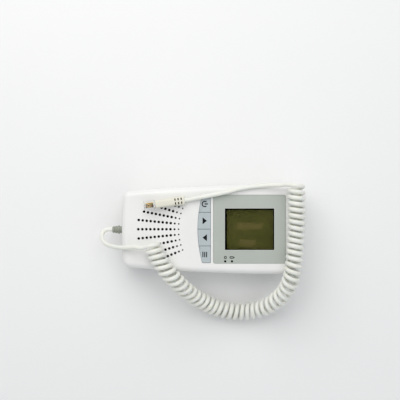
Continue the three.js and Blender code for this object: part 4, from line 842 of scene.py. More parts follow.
# Keys and the opening they share
keyLow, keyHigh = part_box("key_up")
keys = dict(arcRadius=0.101, arcSteps=14, corner=0.0005, outerCorner=0.0009, cornerSteps=5, grow=0.00015)
keys.update(softEdge=0.0005, edgeShare=0.95, flangeReach=0.0008, flangeThickness=0.0006, flangeCorner=0.0003)
keys.update(barGain=0.0004, markX=-0.006, inkHeight=0.00003, inkSunk=0.00001)
keysLeft = keyLow.x + keys["flangeReach"]
keysRight = keyHigh.x - keys["flangeReach"] - keys["barGain"]
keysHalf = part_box("key_power")[1].y
keyBottom = keyLow.z
keyTop = keyHigh.z


def keyOutline(low, high, lowCorner, highCorner, grow=0.0):
    # A rounded rectangle whose left side is carried onto the arc: x = arc(y) + (straight - arc(y)) * share,
    # with share from 0 at the arc to 1 at the straight side, and arc(y) = left + r - sqrt(r^2 - y^2)
    depth = keysRight - keysLeft + 2 * grow
    low, high = low - grow, high + grow
    steps = np.linspace(0, 1, keys["cornerSteps"]) * math.pi / 2
    across = np.linspace(0, 1, keys["arcSteps"])[1:-1]
    stretches = []
    for cornerX, cornerY, radius, start in (
        (depth - highCorner, high - highCorner, highCorner, 0),
        (highCorner, high - highCorner, highCorner, 1),
        (lowCorner, low + lowCorner, lowCorner, 2),
        (depth - lowCorner, low + lowCorner, lowCorner, 3),
    ):
        angle = steps + start * math.pi / 2
        x = cornerX + radius * np.cos(angle)
        y = cornerY + radius * np.sin(angle)
        stretches.append(np.column_stack([x, y]))
        if start == 1:
            sideY = high - highCorner + (low + lowCorner - high + highCorner) * across
            stretches.append(np.column_stack([np.zeros(len(across)), sideY]))
    flat = np.vstack(stretches)
    radius = keys["arcRadius"]
    arc = keysLeft - grow + radius - np.sqrt(radius**2 - flat[:, 1] ** 2)
    straight = keysRight + grow
    share = flat[:, 0] / depth
    return np.column_stack([arc + (straight - arc) * share, flat[:, 1]])


# Openings of the covers, and what stands inside the front one
openings = dict(pocketGap=0.00012, pocketCorner=0.0017, windowCorner=0.0008, chamfer=0.0002)
openings.update(socketRadius=0.0033, reliefRadius=0.0034)
front = dict(trayMargin=0.0017, trayLeftMargin=0.0008, trayCorner=0.001, trayEdge=0.0001)
front.update(ringDepth=0.0058, ringWall=0.0015, ringSides=96)
front.update(screwPost=0.0032, screwBore=0.0016, boardPost=0.0025, boardBore=0.0011)
lampNodes = ("power_light_guide", "charge_light_guide")
cornerNumbers = range(1, 5)


def grownRectangle(low, high, gap, corner):
    # A box seen from above, grown by a gap on every side
    return rectangle((low.x - gap, low.y - gap), (high.x + gap, high.y + gap), corner)


def faceOpenings():
    # What the front cover's face is open for: display, keys and lights
    past = housing["past"]
    chamfer = openings["chamfer"]
    low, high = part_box("display_bezel")
    windowLow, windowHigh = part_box("display_window")
    pocket = grownRectangle(low, high, openings["pocketGap"], openings["pocketCorner"])
    window = grownRectangle(windowLow, windowHigh, play, openings["windowCorner"])
    strip = keyOutline(-keysHalf, keysHalf, keys["outerCorner"], keys["outerCorner"], play)
    mouth = [(0, faceZ - chamfer), (-chamfer, faceZ), (-chamfer, faceZ + past)]
    shapes = [
        lofted(pocket, [(0, low.z - play), *mouth]),
        lofted(window, [(0, windowLow.z - past), (0, faceZ)]),
        lofted(strip, [(0, ceilingZ - past), *mouth]),
    ]
    for name in lampNodes:
        middle = middleOf(name)
        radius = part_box(name)[1].x - middle.x + play
        shapes.append(post(middle.x, middle.y, windowLow.z - past, faceZ, radius))
    return shapes


def socketOpenings():
    # Round holes through the display end's wall
    past = housing["past"]
    spots = [middleOf(name) for name in ("headphone_socket", "charging_socket")]
    radius = openings["socketRadius"]
    return [lyingRod(endX - wall - 2 * past, endX + past, spot.y, spot.z, radius) for spot in spots]


def reliefOpening():
    # A round hole through the speaker end's wall, half of it in each cover
    past = housing["past"]
    return lyingRod(-endX - past, -endX + wall + 2 * past, cord["leadY"], seamZ, openings["reliefRadius"])


def addFrontCover():
    # The shell with the display's tray, the speaker's ring and the screws' posts, and its openings cut
    past = housing["past"]
    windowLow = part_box("display_window")[0]
    low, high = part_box("display_bezel")
    margin = front["trayMargin"]
    low = (low.x - front["trayLeftMargin"], low.y - margin, windowLow.z)
    high = (high.x + margin, high.y + margin, ceilingZ + play)
    tray = softBlock(low, high, front["trayCorner"], front["trayEdge"])
    outer = speakerHigh.x - speakerX + play + front["ringWall"]
    ringLow = ceilingZ - front["ringDepth"]
    ring = post(speakerX, 0, ringLow, ceilingZ + play, outer, front["ringSides"])
    bore = post(speakerX, 0, ringLow - past, ceilingZ, outer - front["ringWall"], front["ringSides"])
    additions = [tray, ring]
    cuts = [bore, grilleCutter(), *faceOpenings(), *socketOpenings(), reliefOpening()]
    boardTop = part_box("main_board")[1].z + play
    for number in cornerNumbers:
        low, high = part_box(f"housing_screw_{number}")
        x, y = (low.x + high.x) / 2, (low.y + high.y) / 2
        additions.append(post(x, y, seamZ + play, ceilingZ + play, front["screwPost"]))
        cuts.append(post(x, y, seamZ, high.z + play, front["screwBore"]))
        low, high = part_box(f"board_screw_{number}")
        x, y = (low.x + high.x) / 2, (low.y + high.y) / 2
        additions.append(post(x, y, boardTop, ceilingZ + play, front["boardPost"]))
        cuts.append(post(x, y, boardTop - play, high.z + play, front["boardBore"]))
    cover = carved(looseObject("frontCover", frontShell()), additions, cuts)
    dressed(cover, whitePlastic, replaced=("front_cover",), slot="white_plastic", crease=30)
    print("front cover:", len(cover.data.polygons), "faces")


def addKeys():
    # A cap per key, straight up and rounded at its top edge, over a flange that reaches under the cover
    soft = keys["softEdge"]
    edge = quarter(5) * (soft * keys["edgeShare"], -soft) + (0, keyTop)
    capLevels = np.concatenate([[(0, keyBottom)], edge])
    flangeLevels = [(0, keyBottom), (0, keyBottom + keys["flangeThickness"])]
    reach = keys["flangeReach"]
    corner = keys["flangeCorner"]
    for name in ("power", "up", "down", "menu"):
        low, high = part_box(f"key_{name}")
        lowCorner = keys["outerCorner"] if name == "menu" else keys["corner"]
        highCorner = keys["outerCorner"] if name == "power" else keys["corner"]
        cap = lofted(keyOutline(low.y, high.y, lowCorner, highCorner, keys["grow"]), capLevels)
        points, faces = lofted(keyOutline(low.y, high.y, corner, corner), flangeLevels)
        points[:, 0] += np.where(points[:, 0] > (keysLeft + keysRight) / 2, reach, -reach)
        made = carved(looseObject(f"key{name.capitalize()}", cap), [(points, faces)])
        dressed(made, keyPlastic, body=f"key_{name}", replaced=(f"key_{name}",), slot="key_plastic")
    print("keys")


addFrontCover()
addKeys()


# Rear cover, battery door and what closes over the back
bay = dict(wall=0.0013, contactMargin=0.0012, flangeHeight=0.0013, flangeEndShare=0.75, corner=0.0008)
bay.update(openEnd=0.005, chamfer=0.00018, footDepth=0.0006, wellWall=0.0009, wellDepth=0.0018)
door = dict(tongue=0.0012, tongueThickness=0.001, tongueCorner=0.0006, tongueEdge=0.0002)
door.update(panelCorner=0.0005, panelEdge=0.00022, innerEdge=0.0001, edgeSteps=12, ribs=5, ribWidth=0.0012)
door.update(ribPitch=0.0026, ribInset=0.01, ribLength=0.022, ribCorner=0.0005, ribEdge=0.00035)
doorLow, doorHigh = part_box("battery_door")
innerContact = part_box("battery_contact_inner")
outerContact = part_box("battery_contact_outer")
bayLeft = innerContact[0].x - play
bayRight = outerContact[1].x + play
bayTop = innerContact[1].z + play
bayHalf = innerContact[1].y + bay["contactMargin"]
doorHalf = doorHigh.y - door["tongue"]


def sharpBlock(low, high):
    # An upright block with sharp edges
    return lofted(rectangle(low[:2], high[:2], 0, 1), [(0, low[2]), (0, high[2])])


def backHole(shape, inner):
    # A cutter through the back: the outline, flared where it leaves the face
    past = housing["past"]
    chamfer = bay["chamfer"]
    return lofted(shape, [(-chamfer, backZ - past), (-chamfer, backZ), (0, backZ + chamfer), (0, inner)])


def circle(x, y, radius, sides=48):
    # An outline: centre + radius * (cos a, sin a)
    angle = np.linspace(0, 2 * math.pi, sides, endpoint=False)
    return np.column_stack([x + radius * np.cos(angle), y + radius * np.sin(angle)])


def addRearCover():
    # The shell with the bay's walls inside, open for the cells, the door and its tongues, feet and screws
    past = housing["past"]
    left = bayLeft - bay["wall"]
    half = bayHalf + bay["wall"]
    flangeHalf = doorHigh.y + play + bay["wall"]
    flangeTop = doorHigh.z + play + bay["flangeHeight"]
    flangeEnd = endX - bay["flangeEndShare"] * wall
    additions = [
        sharpBlock((left, -half, floorZ - play), (bayRight + bay["wall"], half, bayTop + bay["wall"])),
        sharpBlock((left, -flangeHalf, floorZ - play), (flangeEnd, flangeHalf, flangeTop)),
    ]
    doorX = doorLow.x - play
    slotHalf = doorHalf + play
    opening = rectangle((doorX, -slotHalf), (endX + bay["openEnd"], slotHalf), bay["corner"])
    grooveHalf = doorHigh.y + play
    grooveLow = doorHigh.z - door["tongueThickness"] - play
    cuts = [
        reliefOpening(),
        sharpBlock((bayLeft, -bayHalf, backZ - past), (bayRight, bayHalf, bayTop)),
        backHole(opening, doorHigh.z + play),
        sharpBlock((doorX, -grooveHalf, grooveLow), (endX + past, grooveHalf, doorHigh.z + play)),
    ]
    for number in cornerNumbers:
        spot = middleOf(f"foot_{number}")
        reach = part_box(f"foot_{number}")[1].x - spot.x + play
        cuts.append(backHole(circle(spot.x, spot.y, reach), backZ + bay["footDepth"]))
        spot = middleOf(f"housing_screw_{number}")
        low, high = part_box(f"housing_screw_{number}")
        well = high.x - spot.x + play
        additions.append(post(spot.x, spot.y, floorZ - play, seamZ - play / 2, well + bay["wellWall"]))
        cuts.append(backHole(circle(spot.x, spot.y, well), low.z + bay["wellDepth"]))
        cuts.append(post(spot.x, spot.y, low.z, seamZ + past, front["screwBore"]))
    cover = carved(looseObject("rearCover", rearShell()), additions, cuts)
    dressed(cover, whitePlastic, replaced=("rear_cover",), slot="white_plastic", crease=30)
    print("rear cover:", len(cover.data.polygons), "faces")


def addBatteryDoor():
    # The panel is the housing's own outside within a block; tongues stand at its sides, ribs to push on
    levels = softLevels(backZ, seamZ, housing["edgeRadius"], door["innerEdge"], door["edgeSteps"])
    made = looseObject("batteryDoor", lofted(outline, levels))
    panelHigh = (endX + housing["past"], doorHalf, doorHigh.z)
    panel = softBlock((doorLow.x, -doorHalf, backZ), panelHigh, door["panelCorner"], door["panelEdge"])
    low = (doorLow.x + door["tongue"], doorLow.y, doorHigh.z - door["tongueThickness"])
    high = (endX - housing["edgeRadius"], doorHigh.y, doorHigh.z)
    tongues = softBlock(low, high, door["tongueCorner"], door["tongueEdge"])
    ribs = []
    reach = door["ribLength"] / 2
    for number in range(door["ribs"]):
        x = doorLow.x + door["ribInset"] + number * door["ribPitch"]
        high = (x + door["ribWidth"], reach, doorHigh.z - play)
        ribs.append(softBlock((x, -reach, doorLow.z), high, door["ribCorner"], door["ribEdge"]))
    carved(made, [tongues, *ribs], shared=[panel])
    facts = dict(body="battery_door", replaced=("battery_door",), slot="white_plastic", crease=30)
    dressed(made, whitePlastic, **facts)


foot = dict(softEdge=0.0004, recessDepth=0.00025, recessShares=(0.5, 0.56))


def addFeet():
    # A disc turned about its upright axis, rounded below, with a shallow recess in its underside
    for number in cornerNumbers:
        name = f"foot_{number}"
        low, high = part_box(name)
        spot = middleOf(name)
        radius = high.x - spot.x
        edge = quarter(4)[::-1] * foot["softEdge"] + (0, low.z)
        deep, flat = foot["recessShares"]
        profile = [(radius * deep, low.z + foot["recessDepth"]), (radius * flat, low.z)]
        profile += [(radius - inset, height) for inset, height in edge]
        profile.append((radius, high.z))
        shape = turned(profile, (spot.x, spot.y, 0))
        addPiece(f"foot{number}", shape, footRubber, replaced=(name,), slot="foot_rubber")


screw = dict(headHeight=0.0015, crown=(0.0007, 0.0006), shankRadius=0.0013, tipRadius=0.0002, sides=28)
screw.update(threadPitch=0.0008, threadDepth=0.00018)
screw.update(crossReach=0.0014, crossDepth=0.0008, crossHalf=0.00027)


def addHousingScrews():
    # A pan head that faces down its well, with a cross recess, and a threaded shank
    shank = screw["shankRadius"]
    pitch = screw["threadPitch"]
    arms = ((screw["crossReach"], screw["crossHalf"]), (screw["crossHalf"], screw["crossReach"]))
    deep = screw["crossDepth"]
    for number in cornerNumbers:
        name = f"housing_screw_{number}"
        low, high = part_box(name)
        spot = middleOf(name)
        radius = high.x - spot.x
        headTop = low.z + screw["headHeight"]
        crown = quarter(4)[::-1] * screw["crown"]
        profile = [(radius - inset, low.z + height) for inset, height in crown]
        profile.append((radius, headTop))
        for turn in range(int((high.z - low.z - screw["headHeight"] - shank) / pitch)):
            height = headTop + turn * pitch
            profile += [(shank - screw["threadDepth"], height), (shank, height + pitch / 2)]
        profile.append((screw["tipRadius"], high.z))
        shape = turned(profile, (spot.x, spot.y, 0), sides=screw["sides"])
        made = looseObject(f"housingScrew{number}", shape)
        cross = [
            sharpBlock((spot.x - a, spot.y - b, low.z - deep), (spot.x + a, spot.y + b, low.z + deep))
            for a, b in arms
        ]
        carved(made, cuts=cross)
        dressed(made, steel, replaced=(name,), slot="steel")


addRearCover()
addBatteryDoor()
addFeet()
addHousingScrews()
print("rear cover, door, feet and screws")


# Display: bezel, the thin frame round the window, lens, panel and the two lamps below it
display = dict(endInset=0.0093, sideInset=0.01075, corner=0.0016, cornerSteps=8)
display.update(edge=0.00025, backEdge=0.0001)
display.update(trimWidth=0.00045, trimCorner=0.0006, trimSteps=5, trimProud=0.00005, trimShares=(0.4, 0.3))
display.update(windowCorner=0.0006, windowEdge=0.00012, glassCorner=0.0004, glassEdge=0.0001)
display.update(sheet=0.0002, sheetMargin=0.0012, sheetCorner=0.0003, sheetEdge=0.00005)
display.update(lampRadius=0.0008, lampDome=(0.0006, -0.0003), lampSides=32)
display.update(inkHeight=0.00003, inkSunk=0.00001)
# Widths of the black border on the panel; the extra width at the left and at the top is painted shadow of
# the window's edge
borderAndPaintedShadow = dict(left=0.0017, top=0.0011, right=0.0007, bottom=0.0004, thickness=0.00006)
borderAndPaintedShadow.update(outerCorner=0.0002, innerCorner=0.0003)
bezelLow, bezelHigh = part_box("display_bezel")
viewLow = (bezelLow.x + display["endInset"], bezelLow.y + display["sideInset"])
viewHigh = (bezelHigh.x - display["endInset"], bezelHigh.y - display["sideInset"])


def aroundView(margin, corner, steps=6):
    # A rounded rectangle a margin outside the part of the panel that shows
    low = (viewLow[0] - margin, viewLow[1] - margin)
    high = (viewHigh[0] + margin, viewHigh[1] + margin)
    return rectangle(low, high, corner, steps)


def framed(shape, levels):
    # A closed band round an outline; its levels go up the outside and down the inside
    rings = levelRings(shape, levels)
    rows, columns = rings.shape[:2]
    return rings.reshape(-1, 3), ringFaces(rows, columns, loop=True)


def addBezel():
    # A plate with soft edges, open for the trim and for the two lamps
    past = housing["past"]
    shape = rectangle(bezelLow[:2], bezelHigh[:2], display["corner"], display["cornerSteps"])
    plate = lofted(shape, softLevels(bezelLow.z, bezelHigh.z, display["backEdge"], display["edge"]))
    opening = aroundView(display["trimWidth"], display["trimCorner"], display["trimSteps"])
    cuts = [lofted(opening, [(0, bezelLow.z - past), (0, bezelHigh.z + past)])]
    radius = display["lampRadius"] + play / 2
    for name in lampNodes:
        spot = middleOf(name)
        cuts.append(post(spot.x, spot.y, bezelLow.z - past, bezelHigh.z + past, radius))
    bezel = carved(looseObject("displayBezel", plate), cuts=cuts)
    dressed(bezel, greyPaint, replaced=("display_bezel",), slot="grey_plastic", crease=30)
    addTrim(opening)


def addTrim(opening):
    # The frame's top is flat, with both its edges broken in two steps. Its pale paint, lighter than the
    # bezel, is a painted highlight along the window's edge
    trim = display["trimWidth"]
    top = bezelHigh.z + display["trimProud"]
    softShare, stepShare = display["trimShares"]
    soft = trim * softShare
    step = soft * stepShare
    levels = [(0, bezelLow.z), (0, top - soft), (step, top - step), (soft, top), (trim - soft, top)]
    levels += [(trim - step, top - step), (trim, top - soft), (trim, bezelLow.z)]
    addPiece("windowTrim", framed(opening, levels), paintedRimHighlight, slot="grey_plastic", crease=50)


def addWindow():
    # The clear lens, the panel's glass and the sheet on it that carries the panel's colour
    lens = softBlock(*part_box("display_window"), display["windowCorner"], display["windowEdge"])
    addPiece("displayWindow", lens, windowAcrylic, replaced=("display_window",), slot="window")
    low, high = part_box("lcd_panel")
    glassTop = high.z - display["sheet"]
    glass = softBlock(low, (high.x, high.y, glassTop), display["glassCorner"], display["glassEdge"])
    addPiece("lcdGlass", glass, panelGlass, replaced=("lcd_panel",), slot="lcd")
    margin = display["sheetMargin"]
    low, high = (low.x + margin, low.y + margin, glassTop), (high.x - margin, high.y - margin, high.z)
    sheet = softBlock(low, high, display["sheetCorner"], display["sheetEdge"])
    addPiece("lcdPolarizer", sheet, liquidCrystal, slot="lcd")


def addPanelBorderAndPaintedShadow():
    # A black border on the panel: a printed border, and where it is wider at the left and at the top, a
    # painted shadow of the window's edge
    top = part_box("lcd_panel")[1].z
    thickness = borderAndPaintedShadow["thickness"]
    outer = aroundView(wall, borderAndPaintedShadow["outerCorner"])
    low = (viewLow[0] + borderAndPaintedShadow["left"], viewLow[1] + borderAndPaintedShadow["bottom"])
    high = (viewHigh[0] - borderAndPaintedShadow["right"], viewHigh[1] - borderAndPaintedShadow["top"])
    plate = lofted(outer, [(0, top - thickness / 2), (0, top + thickness / 2)])
    opening = rectangle(low, high, borderAndPaintedShadow["innerCorner"])
    hole = lofted(opening, [(0, top - thickness), (0, top + thickness)])
    dressed(carved(looseObject("panelBorderAndPaintedShadow", plate), cuts=[hole]), grilleBlack, slot="lcd")


def addLamps():
    # A rod turned about its upright axis, with a low dome
    radius = display["lampRadius"]
    for name, label in zip(lampNodes, ("powerLamp", "chargeLamp")):
        low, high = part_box(name)
        spot = middleOf(name)
        dome = quarter(5) * display["lampDome"] + (0, high.z)
        profile = [(radius, low.z)] + [(radius - inset, height) for inset, height in dome]
        shape = turned(profile, (spot.x, spot.y, 0), sides=display["lampSides"])
        addPiece(label, shape, guidePlastic, replaced=(name,), slot="clear_plastic")


# Printed marks: thin ink standing on a key's top or on the bezel
marks = dict(radius=0.00205, stroke=0.0009, gap=0.85, stemStart=-0.0002, stemEnd=0.0026, soft=0.00015)
marks.update(arrowLength=0.0035, arrowWidth=0.0056, barLength=0.0044, barWidth=0.0008, barPitch=0.0015)
lampMarks = dict(above=0.0031, x=0.0002, radius=0.0009, stroke=0.0006, gap=0.5, ringSides=24)
lampMarks.update(stem=(0.0003, 0.0013), stemHalf=0.0002, stemSoft=0.00005)
lampMarks.update(cell=(-0.0019, 0.0014), cellHalf=0.00092, cellSoft=0.0005)
lampMarks.update(cap=(0.0015, 0.002), capHalf=0.00045, capSoft=0.0001)


def roundedPolygon(corners, radius, steps=4):
    # Each corner is a parabola between the points a radius before and after it
    corners = np.asarray(corners, float)
    before = corners + unit(np.roll(corners, 1, axis=0) - corners) * radius
    after = corners + unit(np.roll(corners, -1, axis=0) - corners) * radius
    t = np.linspace(0, 1, steps)[None, :, None]
    curve = (1 - t) ** 2 * before[:, None] + 2 * t * (1 - t) * corners[:, None] + t**2 * after[:, None]
    return curve.reshape(-1, 2)


def printed(shape, bottom, height):
    # An outline raised by the height of the ink
    return lofted(shape, [(0, bottom), (0, bottom + height)])


def openRing(x, y, radius, stroke, gap, sides=40):
    # A ring of ink open towards +X, as one outline out along its outside and back along its inside
    turn = np.linspace(gap, 2 * math.pi - gap, sides)
    spokes = np.column_stack([np.cos(turn), np.sin(turn)])
    outer = spokes * (radius + stroke / 2)
    inner = spokes[::-1] * (radius - stroke / 2)
    return np.vstack([outer, inner]) + (x, y)


def bar(x0, x1, y0, y1, soft):
    # The outline of a bar with softened corners
    return roundedPolygon([(x0, y0), (x1, y0), (x1, y1), (x0, y1)], soft)


def keyMarks():
    # Shapes per key: power sign, arrows towards each end, three bars
    x = keys["markX"]
    soft = marks["soft"]
    half = marks["stroke"] / 2
    y = middleOf("key_power").y
    ring = openRing(x, y, marks["radius"], marks["stroke"], marks["gap"])
    yield "power", [ring, bar(x + marks["stemStart"], x + marks["stemEnd"], y - half, y + half, soft)]
    reach = marks["arrowLength"] / 2
    half = marks["arrowWidth"] / 2
    y = middleOf("key_up").y
    yield "up", [roundedPolygon([(x - reach, y - half), (x + reach, y), (x - reach, y + half)], soft)]
    y = middleOf("key_down").y
    yield "down", [roundedPolygon([(x + reach, y + half), (x - reach, y), (x + reach, y - half)], soft)]
    y = middleOf("key_menu").y
    half = marks["barWidth"] / 2
    length = marks["barLength"] / 2
    bars = [x + step * marks["barPitch"] for step in (-1, 0, 1)]
    yield "menu", [bar(b - half, b + half, y - length, y + length, soft) for b in bars]


def addMarks():
    # The marks of the keys ride with them, and those of the lamps stand on the bezel
    for name, shapes in keyMarks():
        ink = joined(*[printed(shape, keyTop - keys["inkSunk"], keys["inkHeight"]) for shape in shapes])
        addPiece(f"{name}Mark", ink, keyInk, body=f"key_{name}", slot="key_plastic")
    spot = middleOf("power_light_guide")
    y = spot.y + lampMarks["above"]
    height = display["inkHeight"]
    bottom = bezelHigh.z - display["inkSunk"]
    radius, stroke = lampMarks["radius"], lampMarks["stroke"]
    ring = openRing(spot.x + lampMarks["x"], y, radius, stroke, lampMarks["gap"], lampMarks["ringSides"])

    def lyingBar(x, name):
        # A bar along X at the marks' height: its two ends, half its width and its corners by name
        low, high = lampMarks[name]
        half = lampMarks[f"{name}Half"]
        return bar(x + low, x + high, y - half, y + half, lampMarks[f"{name}Soft"])

    ink = joined(printed(ring, bottom, height), printed(lyingBar(spot.x, "stem"), bottom, height))
    addPiece("powerLampMark", ink, keyInk, slot="grey_plastic")
    x = middleOf("charge_light_guide").x
    top = bottom + height
    cellMark = framed(lyingBar(x, "cell"), [(0, bottom), (0, top), (stroke, top), (stroke, bottom)])
    ink = joined(cellMark, printed(lyingBar(x, "cap"), bottom, height))
    addPiece("chargeLampMark", ink, keyInk, slot="grey_plastic")


addBezel()
addWindow()
addPanelBorderAndPaintedShadow()
addLamps()
addMarks()
print("display and printed marks")


# Plug at the cord's far end, shaped in its own axes: body, blades, latch, boot and what shows inside it
plug.update(chamfer=0.0008, edge=0.0003, past=0.001, tongueLength=0.003, tongueWidth=0.0046)
plug.update(tongueHeight=0.0034, tongueCorner=0.0004)
blade = dict(count=4, pitch=0.00102, thickness=0.00036, start=0.0016, end=0.0059, depth=0.0022, gap=0.00012)
blade.update(lift=0.00005, proud=0.00015, crest=0.0006, crestSteps=6, edge=0.00006, edgeSteps=2)
latch = dict(length=0.0105, width=0.0032, thickness=0.0009, inset=0.0012, angle=math.radians(9))
latch.update(neckShare=0.72, neckStartShare=0.5, neckEndShare=0.6, corner=0.0004, edge=0.0002)
boot = dict(front=0.0063, back=0.0072, height=0.006, backHeight=0.0054, squareness=0.6, sides=56)
boot.update(softEdge=0.0006, margin=0.001, rings=24, slots=3, slotPitch=0.0025, slotWidth=0.0011)
boot.update(slotDepth=0.0021, slotInset=0.0006, slotLength=0.002, slotFromMiddle=0.00055)
boot.update(slotCorner=0.0004, slotEdge=0.0001, slotSteps=5)
# A black block in the boot: painted shade at the bottom of its pockets
bootPaintedShade = dict(lift=0.00005, margin=0.001, corner=0.0004, edge=0.0002)
wires = dict(names=("black", "red", "green", "yellow"), radius=0.00045, z=0.0007, start=0.0013)
wires.update(softEnd=0.0002, intoJacket=0.0004, sides=16)
jacket = dict(start=0.0072, pastBody=0.002, half=0.0022, bottom=-0.0007, top=0.0016)
jacket.update(corner=0.0006, edge=0.0005)


def placedByPlug(shape):
    # A shape in the plug's own axes, carried to the frame
    return fromPlug(shape[0]), shape[1]


def lyingOnSide(shape):
    # From an outline over (x, z) stacked along the third axis to the plug's axes
    points = shape[0]
    return np.column_stack([points[:, 0], -points[:, 2], points[:, 1]]), shape[1]


def bladeRows():
    # Where each blade starts across the plug: evenly spaced about its middle
    reach = ((blade["count"] - 1) * blade["pitch"] + blade["thickness"]) / 2
    return [-reach + row * blade["pitch"] for row in range(blade["count"])]


def addPlugBody():
    # A side view with a chamfered tip, as wide as the plug; a tongue behind it and a slot for each blade
    half = plug["height"] / 2
    length = plug["bodyLength"]
    chamfer = plug["chamfer"]
    edge = plug["edge"]
    corners = [(chamfer, -half), (length, -half), (length, half), (chamfer, half)]
    corners += [(0, half - chamfer), (0, chamfer - half)]
    wide = plug["width"] / 2
    block = lyingOnSide(lofted(roundedPolygon(corners, edge), softLevels(-wide, wide, edge, edge)))
    y, z = plug["tongueWidth"] / 2, plug["tongueHeight"] / 2
    tongueEnd = length + plug["tongueLength"]
    tongue = softBlock((length - plug["past"], -y, -z), (tongueEnd, y, z), plug["tongueCorner"], edge)
    slots = []
    gap = blade["gap"]
    for y in bladeRows():
        low = (blade["start"] - gap, y - gap, half - blade["depth"])
        high = (blade["end"] + gap, y + blade["thickness"] + gap, half + plug["past"])
        slots.append(sharpBlock(low, high))
    body = looseObject("plugBody", placedByPlug(block))
    carved(body, [placedByPlug(tongue)], [placedByPlug(slot) for slot in slots])
    return dressed(body, clearPlastic, replaced=("plug_body",), slot="clear_plastic", crease=40)


def addPlugContacts():
    # Each blade is a plate stood on edge with a rounded crest
    half = plug["height"] / 2
    start, end = blade["start"], blade["end"]
    low = half - blade["depth"] + blade["lift"]
    high = half + blade["proud"]
    corners = [(start, low), (end, low), (end, high), (start, high)]
    side = roundedPolygon(corners, blade["crest"], blade["crestSteps"])
    blades = []
    for y in bladeRows():
        levels = softLevels(-y - blade["thickness"], -y, blade["edge"], blade["edge"], blade["edgeSteps"])
        blades.append(lyingOnSide(lofted(side, levels)))
    shape = placedByPlug(joined(*blades))
    return addPiece("plugContacts", shape, gold, replaced=("plug_contacts",), slot="gold")


def addPlugLatch():
    # A lever hinged at the tip: wide where it catches, narrower where it is pressed
    length, half = latch["length"], latch["width"] / 2
    neck = half * latch["neckShare"]
    neckStart = length * latch["neckStartShare"]
    neckEnd = length * latch["neckEndShare"]
    corners = [(0, -half), (neckStart, -half), (neckEnd, -neck), (length, -neck)]
    corners += [(length, neck), (neckEnd, neck), (neckStart, half), (0, half)]
    levels = softLevels(-latch["thickness"], 0, latch["edge"], latch["edge"])
    points, faces = lofted(roundedPolygon(corners, latch["corner"]), levels)
    c, s = math.cos(latch["angle"]), math.sin(latch["angle"])
    x = c * points[:, 0] + s * points[:, 2] + latch["inset"]
    z = -s * points[:, 0] + c * points[:, 2] - plug["height"] / 2 - play
    placed = np.column_stack([x, points[:, 1], z])
    facts = dict(body="plug_latch", replaced=("plug_latch",), slot="clear_plastic")
    return addPiece("plugLatch", placedByPlug((placed, faces)), clearPlastic, **facts)


def addPlugBoot():
    # Superellipse rings: y = w/2 |cos a|^k, z = h/2 |sin a|^k with the signs of cos and sin, along the plug
    start = plug["bodyLength"] + play
    stop = start + plug["bootLength"]
    turning = stop - boot["slotPitch"] * (boot["slots"] + 1)
    along = np.array([start, turning, stop])
    soft = quarter(5) * boot["softEdge"]
    lead = soft[::-1]
    straight = np.linspace(start + boot["margin"], stop - boot["margin"], boot["rings"])
    x = np.concatenate([start + lead[:, 1], straight, stop - soft[:, 1]])
    inset = np.concatenate([lead[:, 0], np.zeros(boot["rings"]), soft[:, 0]])
    width = np.interp(x, along, [boot["front"], boot["front"], boot["back"]]) / 2 - inset
    height = np.interp(x, along, [boot["height"], boot["backHeight"], boot["backHeight"]]) / 2 - inset
    angle = (np.arange(boot["sides"]) + 0.5) * 2 * math.pi / boot["sides"]
    y = np.sign(np.cos(angle)) * np.abs(np.cos(angle)) ** boot["squareness"]
    z = np.sign(np.sin(angle)) * np.abs(np.sin(angle)) ** boot["squareness"]
    rings = np.stack(np.broadcast_arrays(x[:, None], width[:, None] * y, height[:, None] * z), axis=2)
    made = looseObject("plugBoot", placedByPlug(closedRings(rings)))
    carved(made, cuts=[placedByPlug(slot) for slot in bootSlots(stop)])
    return dressed(made, creamVinyl, replaced=("plug_boot",), slot="ivory_vinyl", crease=40)


def bootSlots(stop):
    # Two rows of pockets in the upper and in the lower side, near the cord's end
    slots = []
    tall = boot["height"]
    deep = boot["backHeight"] / 2 - boot["slotDepth"]
    for side in (1, -1):
        inner = side * boot["slotFromMiddle"]
        y0, y1 = sorted((inner, inner + side * boot["slotLength"]))
        for number in range(boot["slots"]):
            x0 = stop - boot["slotInset"] - (number + 1) * boot["slotPitch"]
            x1 = x0 + boot["slotWidth"]
            for z0, z1 in ((deep, tall), (-tall, -deep)):
                facts = (boot["slotCorner"], boot["slotEdge"], boot["slotSteps"])
                slots.append(softBlock((x0, y0, z0), (x1, y1, z1), *facts))
    return slots


def addBootPaintedShade():
    # A black block inside the boot, whose top is painted shade at the bottom of the boot's pockets
    stop = plug["bodyLength"] + play + plug["bootLength"]
    reach = boot["backHeight"] / 2 - boot["slotDepth"] + bootPaintedShade["lift"]
    half = boot["slotFromMiddle"] + boot["slotLength"]
    start = stop - boot["slotInset"] - boot["slotPitch"] * boot["slots"]
    high = (stop - bootPaintedShade["margin"], half, reach)
    core = softBlock((start, -half, -reach), high, bootPaintedShade["corner"], bootPaintedShade["edge"])
    return addPiece("bootPaintedShade", placedByPlug(core), blackPlastic, slot="ivory_vinyl")


